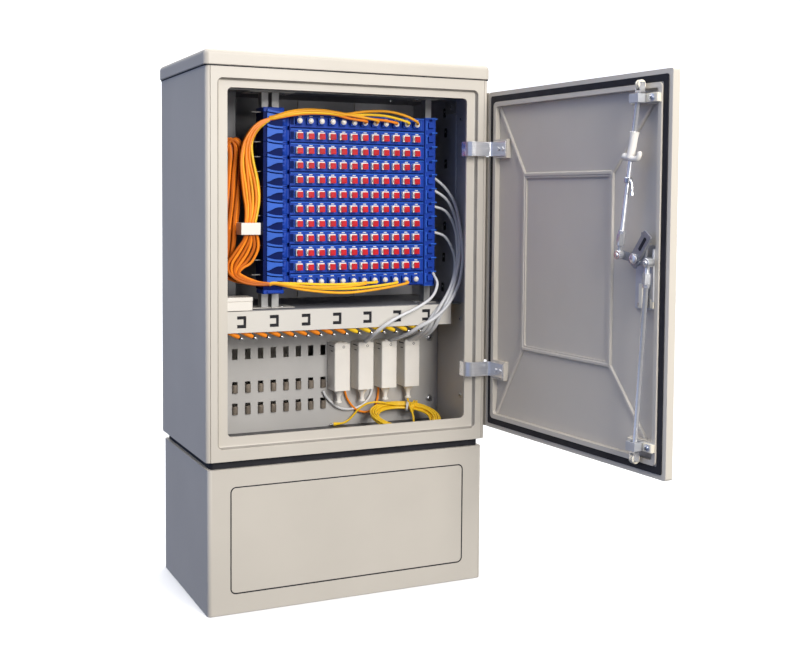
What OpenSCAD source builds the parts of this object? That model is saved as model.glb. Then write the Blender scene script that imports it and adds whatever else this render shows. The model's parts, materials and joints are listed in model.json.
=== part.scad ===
// Street cabinet for cross-connecting optical fibres: moulded body on a plinth, one door,
// a stack of swing-out adapter trays and the cables that run between them.
// Millimetres, +Z up, front towards -Y, origin at the middle of the plinth's underside.

/* [Cabinet] */
// Outer width of the body
cab_w = 550; // [540:1:580]
// Outer depth of the body
cab_d = 315; // [310:1:345]
// Height of the body shell between the dark band and the roof
body_h = 685; // [680:1:720]
// Thickness of the moulded walls
wall = 5; // [4:0.5:6]
// Radius of the upright outer corners
corner_r = 7; // [6:1:14]
// Height of the roof cap
cap_h = 27; // [22:1:40]
// How far the roof cap stands out past the body
cap_overhang = 3; // [1:0.5:6]
// Radius along the top edge of the roof cap
cap_edge_r = 9; // [5:1:12]

/* [Plinth] */
// Height of the plinth
plinth_h = 258; // [220:1:320]
// How far the plinth stands in from the body on each side
plinth_inset = 4; // [2:0.5:8]
// Thickness of the plinth walls
plinth_wall = 8; // [7:0.5:10]
// Height of the dark band between plinth and body
neck_h = 14; // [8:1:24]
// How far the dark band stands in from the body
neck_inset = 10; // [7:0.5:16]
// Margin between the plinth's edges and its cover
cover_margin = 42; // [30:1:60]
// Diameter of the anchor bolt holes
anchor_d = 14; // [10:1:18]

/* [Door frame] */
// Width of the front band around the door recess
frame_band = 21; // [20:0.5:26]
// Depth of the recess that the door closes into
recess_d = 8; // [7:0.5:10]
// Width of the ledge that the door seals against
ledge_w = 20; // [18:0.5:24]
// Width of the ledge over the opening
ledge_top = 15.5; // [14:0.5:24]
// Thickness of the ledge
ledge_t = 5; // [4:0.5:6]

/* [Door] */
// How far the door stands open, in degrees from closed
door_open = 94.3; // [90:0.1:96]
// Thickness of the door at its rim
door_t = 14; // [12:0.5:15]
// Thickness of the door skin
skin_t = 8; // [6:0.5:9]
// Height of the raised lip inside the rim
lip_h = 4; // [3:0.5:5]
// Width of the raised lip
lip_w = 8; // [6:0.5:12]
// Distance of the door seal from the door's edge
seal_in = 8; // [6:0.5:10]
// Width of the door seal
seal_w = 11; // [8:0.5:12]
// Width of the stiffening ribs
rib_w = 6; // [4:0.5:10]

/* [Hinges] */
// Height of a hinge strap
strap_h = 27; // [20:1:34]
// Thickness of the strap metal
strap_t = 2; // [1.5:0.1:2.4]
// Diameter of the hinge pin
hinge_pin_d = 4; // [3:0.1:4.4]
// Height of the lower hinge above the door's lower end
hinge_low_in = 113.5; // [90:0.5:150]
// Distance of the upper hinge below the door's upper end
hinge_high_in = 107.5; // [90:0.5:150]

/* [Lock] */
// Distance of the lock spindle from the door's free edge
lock_in = 64; // [60:1:76]
// Height of the lock spindle above the door's middle
lock_up = 24.5; // [0:0.5:40]
// Length of each cam arm between spindle and rod pin
cam_arm = 34; // [30:0.5:36]
// Diameter of the lock spindle
spindle_d = 12; // [9:0.5:14]
// Diameter of the lock rods
rod_d = 8; // [6:0.5:9]
// Diameter of the rollers on the rod ends
roller_d = 14; // [12:0.5:15]

/* [Trays] */
// Height of the tray stack as a share of the body's height
stack_share = 0.473; // [0.46:0.001:0.485]
// Depth of a tray
tray_depth = 110; // [80:1:125]
// Reach of a tray from its pivot to its far end
tray_reach = 285; // [283:0.5:290]
// Pitch between adapters on a tray
adapter_pitch = 21.9; // [20:0.1:22]
// Width of an adapter
adapter_w = 11; // [9:0.5:13]
// Height of an adapter
adapter_h = 12; // [10:0.5:13]
// Diameter of a tray's pivot pin
tray_pin_d = 5; // [4:0.1:6]

/* [Shelf and plate] */
// Height of the shelf as a share of the body's height
shelf_share = 0.369; // [0.36:0.001:0.374]
// Height of the shelf's front rail
rail_h = 39; // [32:1:46]
// Thickness of the folded sheet
sheet_t = 3; // [2:0.1:4]
// Width of a slot in the lower plate
slot_w = 11; // [8:0.5:14]
// Height of a slot in the lower plate
slot_h = 21; // [16:0.5:26]
// Pitch between slots in the lower plate
slot_pitch = 25.8; // [22:0.1:28]
// Width of a cable box
box_w = 33; // [26:0.5:38]
// Height of a cable box
box_h = 94; // [80:1:100]
// Depth of a cable box
box_d = 40; // [30:0.5:46]

/* [Cords] */
// Diameter of one orange fibre run
orange_d = 7; // [4:0.5:8]
// Diameter of one grey cable
grey_d = 6; // [4:0.5:7]
// Radius of the yellow coil at the middle of its turns
coil_r = 62; // [50:1:64]
// Half the width of the yellow coil across its turns
coil_t = 12; // [10:1:16]
// Height of the yellow coil
coil_h = 12; // [8:1:16]
// Tilt of the coil, in degrees
coil_tilt = 15; // [0:1:16]

/* [Hidden] */
$fn = 48;
tray_count = 12;
function two_digits(i) = str(i < 9 ? "0" : "", i + 1);
function tray_name(i) = str("tray_", two_digits(i));
function adapter_name(i) = str("adapters_", two_digits(i));

// Colours
beige = [0.85, 0.82, 0.76];
dark = [0.12, 0.12, 0.13];
grey = [0.55, 0.56, 0.58];
blue = [0.13, 0.28, 0.72];
white = [0.93, 0.92, 0.88];
red = [0.85, 0.15, 0.18];
steel = [0.75, 0.76, 0.78];
orange = [0.93, 0.5, 0.1];
yellow = [0.96, 0.77, 0.15];

// Small sizes and clearances
eps = 0.01;
run_gap = 0.05;
air_gap = 0.3;
seam = 0.6;
seam_d = 3;
head_r = 5;
head_t = 2.5;

// Levels and planes of the shell
body_z = plinth_h + neck_h;
roof_z = body_z + body_h;
half_w = cab_w / 2;
half_d = cab_d / 2;
in_x = half_w - wall;
in_y = half_d - wall;
front_y = -half_d;
recess_y = front_y + recess_d;
ledge_y = recess_y + ledge_t;
recess_x = half_w - frame_band;
recess_z0 = body_z + frame_band;
recess_z1 = roof_z - frame_band;
open_x = recess_x - ledge_w;
open_z0 = recess_z0 + ledge_w;
open_z1 = recess_z1 - ledge_top;
seam_x = half_w - corner_r - 1;
opening_r = 8;
floor_t = 8;
floor_z = body_z + floor_t;
frame_corner_r = 10;

// Door in its closed place, and the turn that opens it
pivot = [in_x - 5, ledge_y + 4.5];
door_gap_hinge = 7;
door_gap_free = 5;
door_gap_z = 3;
seat_gap = 2;
door_x1 = recess_x - door_gap_hinge;
door_x0 = -recess_x + door_gap_free;
door_z0 = recess_z0 + door_gap_z;
door_z1 = recess_z1 - door_gap_z;
rim_y = recess_y - seat_gap;
outer_y = rim_y - door_t;
field_y = outer_y + skin_t;
door_lip_in = seal_in + seal_w + 1;
lip_x1 = door_x1 - door_lip_in;
lip_x0 = door_x0 + door_lip_in;
lip_z0 = door_z0 + door_lip_in;
lip_z1 = door_z1 - door_lip_in;
seal_t = seat_gap - air_gap;
strap_levels = [door_z0 + hinge_low_in, door_z1 - hinge_high_in];
lip_y = rim_y + lip_h;

// Lock, on the inside of the closed door
lock_x = door_x0 + lock_in;
lock_zc = (door_z0 + door_z1) / 2 + lock_up;
cam_rest = 8;
cam_y = rim_y + 8;
cam_t = 4;
rod_y = cam_y + cam_t + 1 + rod_d / 2;
rod_eye_r = 7;
rod_pin_d = 6;
roller_w = 7;
roller_y = ledge_y + roller_d / 2 + 1.5;
roller_edge = 3;
upper_roller_z = open_z1 - roller_edge - roller_d / 2;
lower_roller_z = open_z0 + roller_edge + roller_d / 2;
upper_pin = [lock_x + cam_arm * cos(cam_rest), lock_zc + cam_arm * sin(cam_rest)];
lower_pin = [lock_x - cam_arm * cos(cam_rest), lock_zc - cam_arm * sin(cam_rest)];
upper_roller_x = upper_pin.x - 42;
lower_roller_x = lower_pin.x + 24;
guide_in = 21;
guide_half = rod_d / 2 + 3.6;
guide_wing = 20;
guide_h = 14;
function on_rod(pin, end, z) = [pin.x + (end.x - pin.x) * (z - pin.y) / (end.y - pin.y), z];
rod_guides = [
    on_rod(upper_pin, [upper_roller_x, upper_roller_z], upper_roller_z - guide_in),
    on_rod(lower_pin, [lower_roller_x, lower_roller_z], lower_roller_z + guide_in)
];

// Trays: the pivot of the stack and its rows
tray_face_y = -60;
tray_pivot = [-96, -52];
tray_wall = 2.5;
tray_pitch = round(2 * body_h * stack_share / tray_count) / 2;
tray_gap = 0.6;
tray_h = tray_pitch - tray_gap;
tray_left = tray_pivot.x + 8;
tray_right = tray_pivot.x + tray_reach;
shelf_z = round(body_h * shelf_share);
shelf_top = body_z + shelf_z;
stack_z0 = shelf_top + 38;
function row_z(i) = stack_z0 + tray_pitch * (tray_count - 0.5 - i);
stack_z1 = stack_z0 + tray_pitch * tray_count;
first_adapter_x = tray_left + 16;
adapters = 12;
lug_t = 3;
guide_left = tray_pivot.x - 48;
guide_bar_w = 12;
guide_front = -75;
post_front = -34;
post_d = 20;
latch_w = 23;
latch_x = tray_right + 1.5;
latch_end = latch_x + latch_w;

// Shelf and lower plate
rail_y = guide_front;
rail_end = half_w - 31;
plate_y = 32;
slot_x0 = -in_x + 105;
slot_rows = shelf_z * [0.634, 0.383, 0.219];
slot_cols = 8;
box_x0 = in_x - 229;
box_pitch = 50.5;
box_top = shelf_top - 76;
box_count = 4;

// Routes of the cords, as points chosen by hand: a height between the last row and the first one is a share
first_row = row_z(0);
last_row = row_z(tray_count - 1);
function rise(t) = last_row + t * (first_row - last_row);
orange_route = [[-126, -80, rise(1.01)], [-140, -84, rise(0.995)], [-152, -79, rise(0.94)],
                [-160, -70, rise(0.84)], [-165, -56, rise(0.685)], [-166, -47, rise(0.483)],
                [-166, -47, rise(0.281)], [-164, -51, rise(0.14)], [-160, -63, rise(0.052)],
                [-152, -76, rise(0.005)], [-140, -84, rise(-0.018)], [-126, -80, rise(-0.022)]];
cable_way = in_x - latch_end;
grey_route = [[latch_end + 2.5, -47, rise(0.685)], [latch_end + 0.33 * cable_way, -62, rise(0.635)],
              [latch_end + 0.5 * cable_way, -76, rise(0.49)],
              [latch_end + 0.54 * cable_way, -84, rise(0.315)],
              [latch_end + 0.49 * cable_way, -90, rise(0.146)],
              [latch_end + 0.26 * cable_way, -96, rise(-0.022)],
              [latch_end - 15.5, -96, shelf_top - 1], [box_x0 + 119, -92, shelf_top - 39],
              [box_x0 + 87, -68, box_top + 13], [box_x0 + 59, -16, box_top + 9],
              [box_x0 + 50, 10, box_top + 3.4]];
grey_drop = [0, 0.168, 0.337] * (first_row - last_row);
grey_spread = 5;
top_route = [[-70, -68, 18.5], [-40, -76, 19.5], [0, -78, 19.5], [45, -78, 18.5], [90, -78, 16.5],
             [125, -78, 14.5], [155, -76, 8.5], [169, -72.8, 0.5]];
bottom_route = [[-70, -68, -18.5], [-40, -76, -19.5], [0, -78, -20.5], [60, -78, -19.5], [110, -78, -17.5],
                [150, -76, -10.5], [169, -72.8, -0.5]];
coil_edge = coil_r + coil_t - coil_h / 2;
coil_centre = [in_x - 108, -42, floor_z + air_gap + coil_edge * sin(coil_tilt) + coil_h / 2];

// Shapes that repeat

module rounded_square(w, h, r) {
    square([w - 2 * r, h], center = true);
    square([w, h - 2 * r], center = true);
    for (x = [-1, 1], y = [-1, 1])
        translate([x * (w / 2 - r), y * (h / 2 - r)]) circle(r);
}

// Plate that stands across Y, from an outline drawn in X and Z
module standing(y0, y1) {
    translate([0, y1, 0]) rotate([90, 0, 0]) linear_extrude(y1 - y0) children();
}

// Rounded window outline between two X and two Z values
module window(x0, x1, z0, z1, r) {
    translate([(x0 + x1) / 2, (z0 + z1) / 2]) rounded_square(x1 - x0, z1 - z0, r);
}

module block(x0, x1, y0, y1, z0, z1) {
    translate([x0, y0, z0]) cube([x1 - x0, y1 - y0, z1 - z0]);
}

module pin_y(x, z, r, y0, y1) {
    translate([x, y0, z]) rotate([-90, 0, 0]) cylinder(r = r, h = y1 - y0);
}

module pin_x(y, z, r, x0, x1) {
    translate([x0, y, z]) rotate([0, 90, 0]) cylinder(r = r, h = x1 - x0);
}

module pin_z(x, y, r, z0, z1) {
    translate([x, y, z0]) cylinder(r = r, h = z1 - z0);
}

// Puts what is drawn on the closed door where the open door is
module on_door() {
    translate([pivot.x, pivot.y, 0]) rotate([0, 0, door_open]) translate([-pivot.x, -pivot.y, 0]) children();
}

function turn(p, a) = [p.x * cos(a) - p.y * sin(a), p.x * sin(a) + p.y * cos(a)];
function door_point(x, y) = pivot + turn([x, y] - pivot, door_open);
function unit(v) = v / norm(v);

// Arc that rounds the corner at b between the points a and c
function round_corner(a, b, c, r, n = 6) =
    let (u = unit(a - b), w = unit(c - b), half = acos(u * w) / 2)
    let (centre = b + unit(u + w) * r / sin(half))
    let (s0 = b + u * r / tan(half) - centre, s1 = b + w * r / tan(half) - centre)
    let (a0 = atan2(s0.y, s0.x), sweep = (atan2(s1.y, s1.x) - a0 + 540) % 360 - 180)
    [for (i = [0:n]) centre + r * [cos(a0 + sweep * i / n), sin(a0 + sweep * i / n)]];

function side_of(path, i) =
    let (d = unit(path[min(i + 1, len(path) - 1)] - path[max(i - 1, 0)])) [-d.y, d.x];

// Outline of a strip of metal along a path
function ribbon(path, t) = concat(
    [for (i = [0:len(path) - 1]) path[i] + side_of(path, i) * t / 2],
    [for (i = [len(path) - 1:-1:0]) path[i] - side_of(path, i) * t / 2]
);

// Smooth curve through the points of a route
function curve_point(p, i, t) =
    let (a = p[max(i - 1, 0)], b = p[i], c = p[i + 1], d = p[min(i + 2, len(p) - 1)])
    0.5 * (2 * b + (c - a) * t + (2 * a - 5 * b + 4 * c - d) * t * t + (3 * b - a - 3 * c + d) * t * t * t);
function smooth(p, steps) = concat(
    [for (i = [0:len(p) - 2], k = [0:steps - 1]) curve_point(p, i, k / steps)],
    [p[len(p) - 1]]
);

// Round tube along a route that never runs along Y
module tube(route, d, sides = 8, steps = 2) {
    path = smooth(route, steps);
    n = len(path);
    rings = [for (i = [0:n - 1])
        let (dir = unit(path[min(i + 1, n - 1)] - path[max(i - 1, 0)]))
        let (side = unit(cross(dir, [0, 1, 0])), up = cross(side, dir))
        for (k = [0:sides - 1]) path[i] + d / 2 * (side * cos(360 * k / sides) + up * sin(360 * k / sides))];
    walls = [for (i = [0:n - 2], k = [0:sides - 1])
        let (a = i * sides + k, b = i * sides + (k + 1) % sides)
        each [[a, b, b + sides], [a, b + sides, a + sides]]];
    first = [for (k = [sides - 1:-1:0]) k];
    last = [for (k = [0:sides - 1]) (n - 1) * sides + k];
    polyhedron(rings, concat([first], walls, [last]), convexity = 6);
}

// Plinth

module plinth_outline(inset) {
    side = 2 * (plinth_inset + inset);
    rounded_square(cab_w - side, cab_d - side, max(corner_r - inset, 2));
}

plinth_x = half_w - plinth_inset;
plinth_y = half_d - plinth_inset;
cover_x = plinth_x - cover_margin;
cover_t = plinth_wall / 2;
cover_z0 = cover_margin - 6;
cover_z1 = plinth_h - cover_margin + 8;
cover_r = 9;
cover_gap = 1;
cover_ledge = 12;
flange_w = 42;
anchor_x = plinth_x - plinth_wall - flange_w / 2;
anchor_y = plinth_y - plinth_wall - flange_w / 2;

module plinth_shell() {
    color(beige) difference() {
        linear_extrude(plinth_h) plinth_outline(0);
        translate([0, 0, -eps]) linear_extrude(plinth_h + 2 * eps) plinth_outline(plinth_wall + flange_w);
        translate([0, 0, floor_t]) linear_extrude(plinth_h - 2 * floor_t) plinth_outline(plinth_wall);
        for (x = [-1, 1], y = [-1, 1]) pin_z(x * anchor_x, y * anchor_y, anchor_d / 2, -eps, floor_t + eps);
        standing(-plinth_y - eps, -plinth_y + cover_t)
            window(-cover_x - cover_gap, cover_x + cover_gap, cover_z0 - cover_gap, cover_z1 + cover_gap,
                cover_r + cover_gap);
        standing(-plinth_y, -plinth_y + plinth_wall + eps)
            window(-cover_x + cover_ledge, cover_x - cover_ledge,
                cover_z0 + cover_ledge, cover_z1 - cover_ledge, cover_r);
    }
}

module plinth_cover() {
    color(beige) standing(-plinth_y, -plinth_y + cover_t)
        window(-cover_x, cover_x, cover_z0, cover_z1, cover_r);
}

neck_w = 34;

module neck_seal() {
    color(dark) translate([0, 0, plinth_h]) linear_extrude(neck_h) difference() {
        rounded_square(cab_w - 2 * neck_inset, cab_d - 2 * neck_inset, corner_r);
        rounded_square(cab_w - 2 * (neck_inset + neck_w), cab_d - 2 * (neck_inset + neck_w), 4);
    }
}

// Body shell

entry_d = 56;
entry_x = 150;
entry_y = plate_y + sheet_t + entry_d / 2 + 5;

module floor_plate() {
    color(grey) difference() {
        block(-in_x, in_x, ledge_y, in_y, body_z, floor_z);
        for (k = [-1:1]) pin_z(k * entry_x, entry_y, entry_d / 2, body_z - eps, floor_z + eps);
    }
}

module side_outline() {
    intersection() {
        difference() {
            rounded_square(cab_w, cab_d, corner_r);
            square([2 * in_x, 2 * in_y], center = true);
        }
        translate([seam_x, -half_d]) square([cab_w, cab_d]);
    }
}

wall_slot_levels = body_h * [0.865, 0.77, 0.59, 0.496, 0.407];
wall_slot_y = -9;
wall_slot = [2, 8, 18];

module right_side_panel() {
    color(beige) difference() {
        translate([0, 0, body_z]) linear_extrude(body_h) side_outline();
        for (z = wall_slot_levels)
            translate([in_x + wall_slot.x / 2 - eps, wall_slot_y, body_z + z])
                cube(wall_slot, center = true);
    }
}

module left_side_panel() {
    color(beige) translate([0, 0, body_z]) linear_extrude(body_h) mirror([1, 0]) side_outline();
}

module rear_panel() {
    color(beige) block(-seam_x, seam_x, in_y, half_d, body_z, roof_z);
}

module front_frame() {
    color(beige) difference() {
        block(-seam_x, seam_x, front_y, ledge_y, body_z, roof_z);
        standing(front_y - eps, recess_y) window(-recess_x, recess_x, recess_z0, recess_z1, frame_corner_r);
        standing(front_y, ledge_y + eps) window(-open_x, open_x, open_z0, open_z1, opening_r);
        for (x = [-seam_x - eps, seam_x - seam])
            block(x, x + seam + eps, front_y - eps, front_y + seam_d, body_z - eps, roof_z + eps);
    }
}

lip_in = 12;

cap_corner_r = corner_r + cap_overhang;

// One rounded corner of the cap, from its side up over its top edge
module cap_corner() {
    centre = [cap_corner_r - cap_edge_r, cap_h - cap_edge_r];
    edge = [for (a = [0:15:90]) centre + cap_edge_r * [cos(a), sin(a)]];
    rotate_extrude($fn = 32) polygon(concat([[0, 0], [cap_corner_r, 0]], edge, [[0, cap_h]]));
}

module cap_solid() {
    hull() for (x = [-1, 1], y = [-1, 1])
        translate([x * (half_w - corner_r), y * (half_d - corner_r), roof_z]) cap_corner();
}

module roof_cap() {
    color(beige) difference() {
        cap_solid();
        block(-in_x + lip_in, in_x - lip_in, -in_y + lip_in, in_y - lip_in,
            roof_z - eps, roof_z + cap_h - wall);
    }
}

// Inner frame that carries the trays

post_x = [[guide_left + 10, guide_left + 23], [guide_left + 30, guide_left + 44]];
right_post = [tray_right + 15, tray_right + 28];
top_rail_z = roof_z - 30;
rail_flange = 26;
top_rail_y0 = post_front - 8;
top_rail_y1 = post_front + post_d + 16;

module equipment_frame() {
    color(grey) {
        for (p = post_x) block(p[0], p[1], post_front, post_front + post_d, shelf_top, top_rail_z);
        block(right_post[0], right_post[1], post_front, post_front + post_d, shelf_top, top_rail_z);
        block(-in_x, in_x, top_rail_y0, top_rail_y1, top_rail_z, top_rail_z + sheet_t);
        for (x = [-in_x, in_x - sheet_t])
            block(x, x + sheet_t, top_rail_y0, top_rail_y1, top_rail_z - rail_flange, top_rail_z);
    }
}

horn_x = tray_pivot.x - 7;

// One moulded unit of the guide column, with a horn that leads the fibres and lugs for a tray
module fibre_guide(z) {
    bar_x = guide_left + guide_bar_w;
    half_h = tray_h / 2;
    difference() {
        union() {
            block(guide_left, bar_x, guide_front, post_front, z - half_h, z + half_h);
            standing(guide_front, guide_front + 10) translate([bar_x - eps, z]) {
                difference() {
                    translate([0, -half_h]) square([horn_x - bar_x, half_h + 1]);
                    translate([horn_x - bar_x, -half_h - 6]) circle(16);
                    translate([horn_x - bar_x, 18]) circle(18.5);
                }
                difference() {
                    translate([0, 3]) square([horn_x - bar_x, 10]);
                    translate([horn_x - bar_x + 3, 25]) circle(20);
                    translate([horn_x - bar_x - 14, -18]) circle(23);
                }
            }
            for (s = [-1, 1]) {
                z0 = s > 0 ? z + half_h - lug_t : z - half_h;
                block(bar_x - eps, tray_pivot.x, tray_pivot.y - 6, tray_pivot.y + 6, z0, z0 + lug_t);
                pin_z(tray_pivot.x, tray_pivot.y, 6, z0, z0 + lug_t);
            }
        }
        pin_z(tray_pivot.x, tray_pivot.y, tray_pin_d / 2 + run_gap, z - half_h - eps, z + half_h + eps);
    }
}

module fibre_guides() {
    color(blue) for (i = [0:tray_count - 1]) fibre_guide(row_z(i));
}

latch_tab = [12, 6, 10];

module tray_latch_bar() {
    color(blue) {
        block(latch_x, latch_x + latch_w, tray_face_y, post_front, stack_z0, stack_z1);
        for (i = [0:tray_count - 1])
            translate([latch_x + latch_w / 2, tray_face_y - latch_tab.y / 2 + eps, row_z(i)])
                cube(latch_tab, center = true);
    }
}

// Swing-out trays

tray_back = tray_face_y + tray_depth;
function adapter_x(k) = first_adapter_x + adapter_pitch * k;
adapter_fit = 0.2;

module tray_outline(inset) {
    intersection() {
        translate([tray_left + inset, tray_face_y + inset]) square([tray_reach, tray_depth - 2 * inset]);
        translate(tray_pivot) circle(tray_reach - inset, $fn = 96);
    }
}

module tray(i) {
    z = row_z(i);
    half_h = tray_h / 2;
    knuckle = half_h - lug_t - air_gap;
    color(blue) {
        difference() {
            translate([0, 0, z - half_h]) linear_extrude(tray_h) tray_outline(0);
            translate([0, 0, z - half_h + tray_wall]) linear_extrude(tray_h) tray_outline(tray_wall);
            for (k = [0:adapters - 1]) block(
                adapter_x(k) - adapter_w / 2, adapter_x(k) + adapter_w / 2,
                tray_face_y - eps, tray_face_y + tray_wall + eps, z - adapter_h / 2, z + adapter_h / 2);
        }
        block(tray_pivot.x, tray_left + eps, tray_pivot.y - 4, tray_pivot.y + 4, z - knuckle, z + knuckle);
        pin_z(tray_pivot.x, tray_pivot.y, 6, z - knuckle, z + knuckle);
        pin_z(tray_pivot.x, tray_pivot.y, tray_pin_d / 2, z - half_h, z + half_h);
    }
}

adapter_back = 22;
adapter_front = 4;
cap_out = 5;
cap_in = 1.5;

module adapter_row(i) {
    z = row_z(i);
    for (k = [0:adapters - 1]) {
        x = adapter_x(k);
        color(white) {
            block(x - adapter_w / 2 + adapter_fit, x + adapter_w / 2 - adapter_fit,
                tray_face_y - eps, tray_face_y + adapter_back,
                z - adapter_h / 2 + adapter_fit, z + adapter_h / 2 - adapter_fit);
            block(x - adapter_w / 2 - 1, x + adapter_w / 2 + 1, tray_face_y - adapter_front, tray_face_y,
                z - adapter_h / 2 - 1, z + adapter_h / 2 + 1);
        }
        color(red) block(x - adapter_w / 2 + cap_in, x + adapter_w / 2 - cap_in,
            tray_face_y - adapter_front - cap_out, tray_face_y - adapter_front + eps,
            z - adapter_h / 2 + cap_in, z + adapter_h / 2 - cap_in);
    }
}

// Shelf, lower plate and what sits on them

shelf_under = shelf_top - sheet_t;
rail_z0 = shelf_top - rail_h;
hook_pitch = 62.3;
hook_x0 = -in_x + 85;
hook_w = 17;
hook_h = 22;
hook_count = 7;
hook_side = 5;
hook_end = 6;
rail_notch = 18;
return_lip = 22;

module cable_shelf() {
    color(beige) difference() {
        union() {
            block(-in_x, in_x, rail_y, plate_y, shelf_under, shelf_top);
            block(-in_x, rail_end, rail_y, rail_y + sheet_t, rail_z0, shelf_top);
            block(-in_x, rail_end, rail_y, rail_y + return_lip, rail_z0, rail_z0 + sheet_t);
        }
        for (k = [0:hook_count - 1]) {
            x = hook_x0 + hook_pitch * k;
            z = (rail_z0 + shelf_top) / 2;
            difference() {
                block(x - hook_w / 2, x + hook_w / 2, rail_y - 1, rail_y + sheet_t + 1,
                    z - hook_h / 2, z + hook_h / 2);
                block(x - hook_w, x + hook_w / 2 - hook_side, rail_y - 2, rail_y + sheet_t + 2,
                    z - hook_h / 2 + hook_end, z + hook_h / 2 - hook_end);
            }
        }
        block(rail_end, in_x + 1, rail_y - 1, rail_y + rail_notch, shelf_under - 1, shelf_top + 1);
    }
}

module slotted_plate() {
    color(grey) {
        difference() {
            block(-in_x, in_x, plate_y, plate_y + sheet_t, floor_z, shelf_top);
            for (row = slot_rows, k = [0:slot_cols - 1])
                block(slot_x0 + slot_pitch * k - slot_w / 2, slot_x0 + slot_pitch * k + slot_w / 2,
                    plate_y - 1, plate_y + sheet_t + 1, body_z + row - slot_h / 2, body_z + row + slot_h / 2);
        }
        for (row = [slot_rows[1], slot_rows[2]], k = [0:slot_cols - 1]) {
            x = slot_x0 + slot_pitch * k;
            block(x - slot_w / 2 + 1, x + slot_w / 2 - 1, plate_y - 4, plate_y + sheet_t,
                body_z + row - slot_h / 2 - eps, body_z + row + slot_h / 2 - 6);
        }
    }
}

spout_h = 26;
spout_r = 4;
spout_tip_r = 6;
spout_tip_h = 3;
funnel_h = 14;
funnel_r = 11;

module cable_boxes() {
    box_z = box_top - box_h;
    lid_z = box_top - 12;
    color(white) for (k = [0:box_count - 1]) {
        x = box_x0 + box_pitch * k;
        y = plate_y - box_d / 2;
        difference() {
            block(x - box_w / 2, x + box_w / 2, plate_y - box_d, plate_y, box_z, box_top);
            difference() {
                block(x - box_w, x + box_w, plate_y - 2 * box_d, plate_y + 1, lid_z, lid_z + 1);
                block(x - box_w / 2 + 1, x + box_w / 2 - 1, plate_y - box_d + 1, plate_y - 1,
                    lid_z - 1, lid_z + 2);
            }
        }
        translate([x, y, box_z - funnel_h]) cylinder(r1 = spout_r, r2 = funnel_r, h = funnel_h + 1);
        pin_z(x, y, spout_r, box_z - spout_h, box_z - funnel_h + 1);
        pin_z(x, y, spout_tip_r, box_z - spout_h, box_z - spout_h + spout_tip_h);
    }
}

clip_z = stack_z0 + 0.346 * (stack_z1 - stack_z0);
clip_x0 = guide_left - 42;
clip_front = -88;
clip_back = guide_front + 24;
clip_h = 22;
clip_side = 6;
clip_root = 8;
clip_bar = 12;

module cable_clip() {
    color(white) difference() {
        block(clip_x0, guide_left, clip_front, clip_back, clip_z - clip_h / 2, clip_z + clip_h / 2);
        block(clip_x0 + clip_side, guide_left - clip_root, clip_front + clip_bar, clip_back + 1,
            clip_z - clip_h, clip_z + clip_h);
    }
}

storage_x0 = -in_x + 46;
storage_size = [61, 42, 26];

module storage_box() {
    color(white) translate([storage_x0, rail_y, shelf_top]) cube(storage_size);
}

// Parked connector ends that show below the shelf's rail
parked_count = 15;
parked_pitch = 26;
parked_x0 = -in_x + 66;
parked_lean = 118;
parked_r = 3;
parked_l = 24;

module parked_connectors() {
    color(orange) for (k = [0:parked_count - 1])
        intersection() {
            translate([parked_x0 + parked_pitch * k, rail_y + return_lip / 2, rail_z0 + 4])
                rotate([0, parked_lean, 0]) cylinder(r = parked_r, h = parked_l);
            block(-in_x, in_x, rail_y, plate_y, rail_z0 - parked_l, rail_z0);
        }
}

plate_bolt_x = half_w - 24;
plate_bolt_levels = shelf_z * [0.194, 0.69];
wall_screws = [[-64, 0.9 * body_h], [-66, 0.324 * body_h], [-68, 0.102 * body_h]];
small_head_r = 4;
shelf_screw_x = [tray_left - 2, tray_right + 1];
rail_screw_x = [guide_left - 6, tray_left, tray_right + 1];
post_mid = post_front + post_d / 2;

module frame_screws() {
    color(steel) {
        for (z = plate_bolt_levels) pin_y(plate_bolt_x, body_z + z, head_r, plate_y - head_t, plate_y);
        for (p = wall_screws) pin_x(p[0], body_z + p[1], small_head_r, in_x - head_t, in_x);
        pin_x(post_mid, top_rail_z - rail_flange / 2, small_head_r, in_x - sheet_t - head_t, in_x - sheet_t);
        for (x = shelf_screw_x) pin_z(x, post_mid, small_head_r, shelf_top, shelf_top + head_t);
        for (x = rail_screw_x) pin_z(x, post_mid, small_head_r, top_rail_z - head_t, top_rail_z);
    }
}

// Cords

orange_rank = 4;
orange_runs = 2 * orange_rank;

module patch_fibres() {
    color(orange) for (k = [0:orange_runs - 1]) {
        spread = 2 * orange_d * (k % orange_rank);
        back = (orange_d + 0.5) * floor(k / orange_rank);
        tube([for (i = [0:len(orange_route) - 1])
            let (f = sin(180 * i / (len(orange_route) - 1)))
            orange_route[i] + [-spread * f, back * f * f, 2 * (k - orange_rank + 0.5) * (1 - f)]], orange_d);
    }
}

module grey_cables() {
    color(grey) for (k = [0:len(grey_drop) - 1]) tube(
        [for (i = [0:len(grey_route) - 1])
            let (f = i / (len(grey_route) - 1))
            let (shift = [box_pitch * k * pow(f, 5), grey_spread * k * (1 - f), -grey_drop[k] * pow(1 - f, 2)])
            grey_route[i] + shift],
        grey_d);
}

module yellow_coil() {
    color(yellow) translate(coil_centre) rotate([coil_tilt, 0, 0]) rotate_extrude() translate([coil_r, 0]) {
        square([2 * coil_t - coil_h, coil_h], center = true);
        for (s = [-1, 1]) translate([s * (coil_t - coil_h / 2), 0]) circle(coil_h / 2);
    }
}

module top_tray_fibres() {
    color(orange) translate([0, 0, first_row]) tube(top_route, orange_d);
}

module bottom_tray_fibres() {
    color(yellow) translate([0, 0, last_row]) tube(bottom_route, orange_d);
}

// Door

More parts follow.
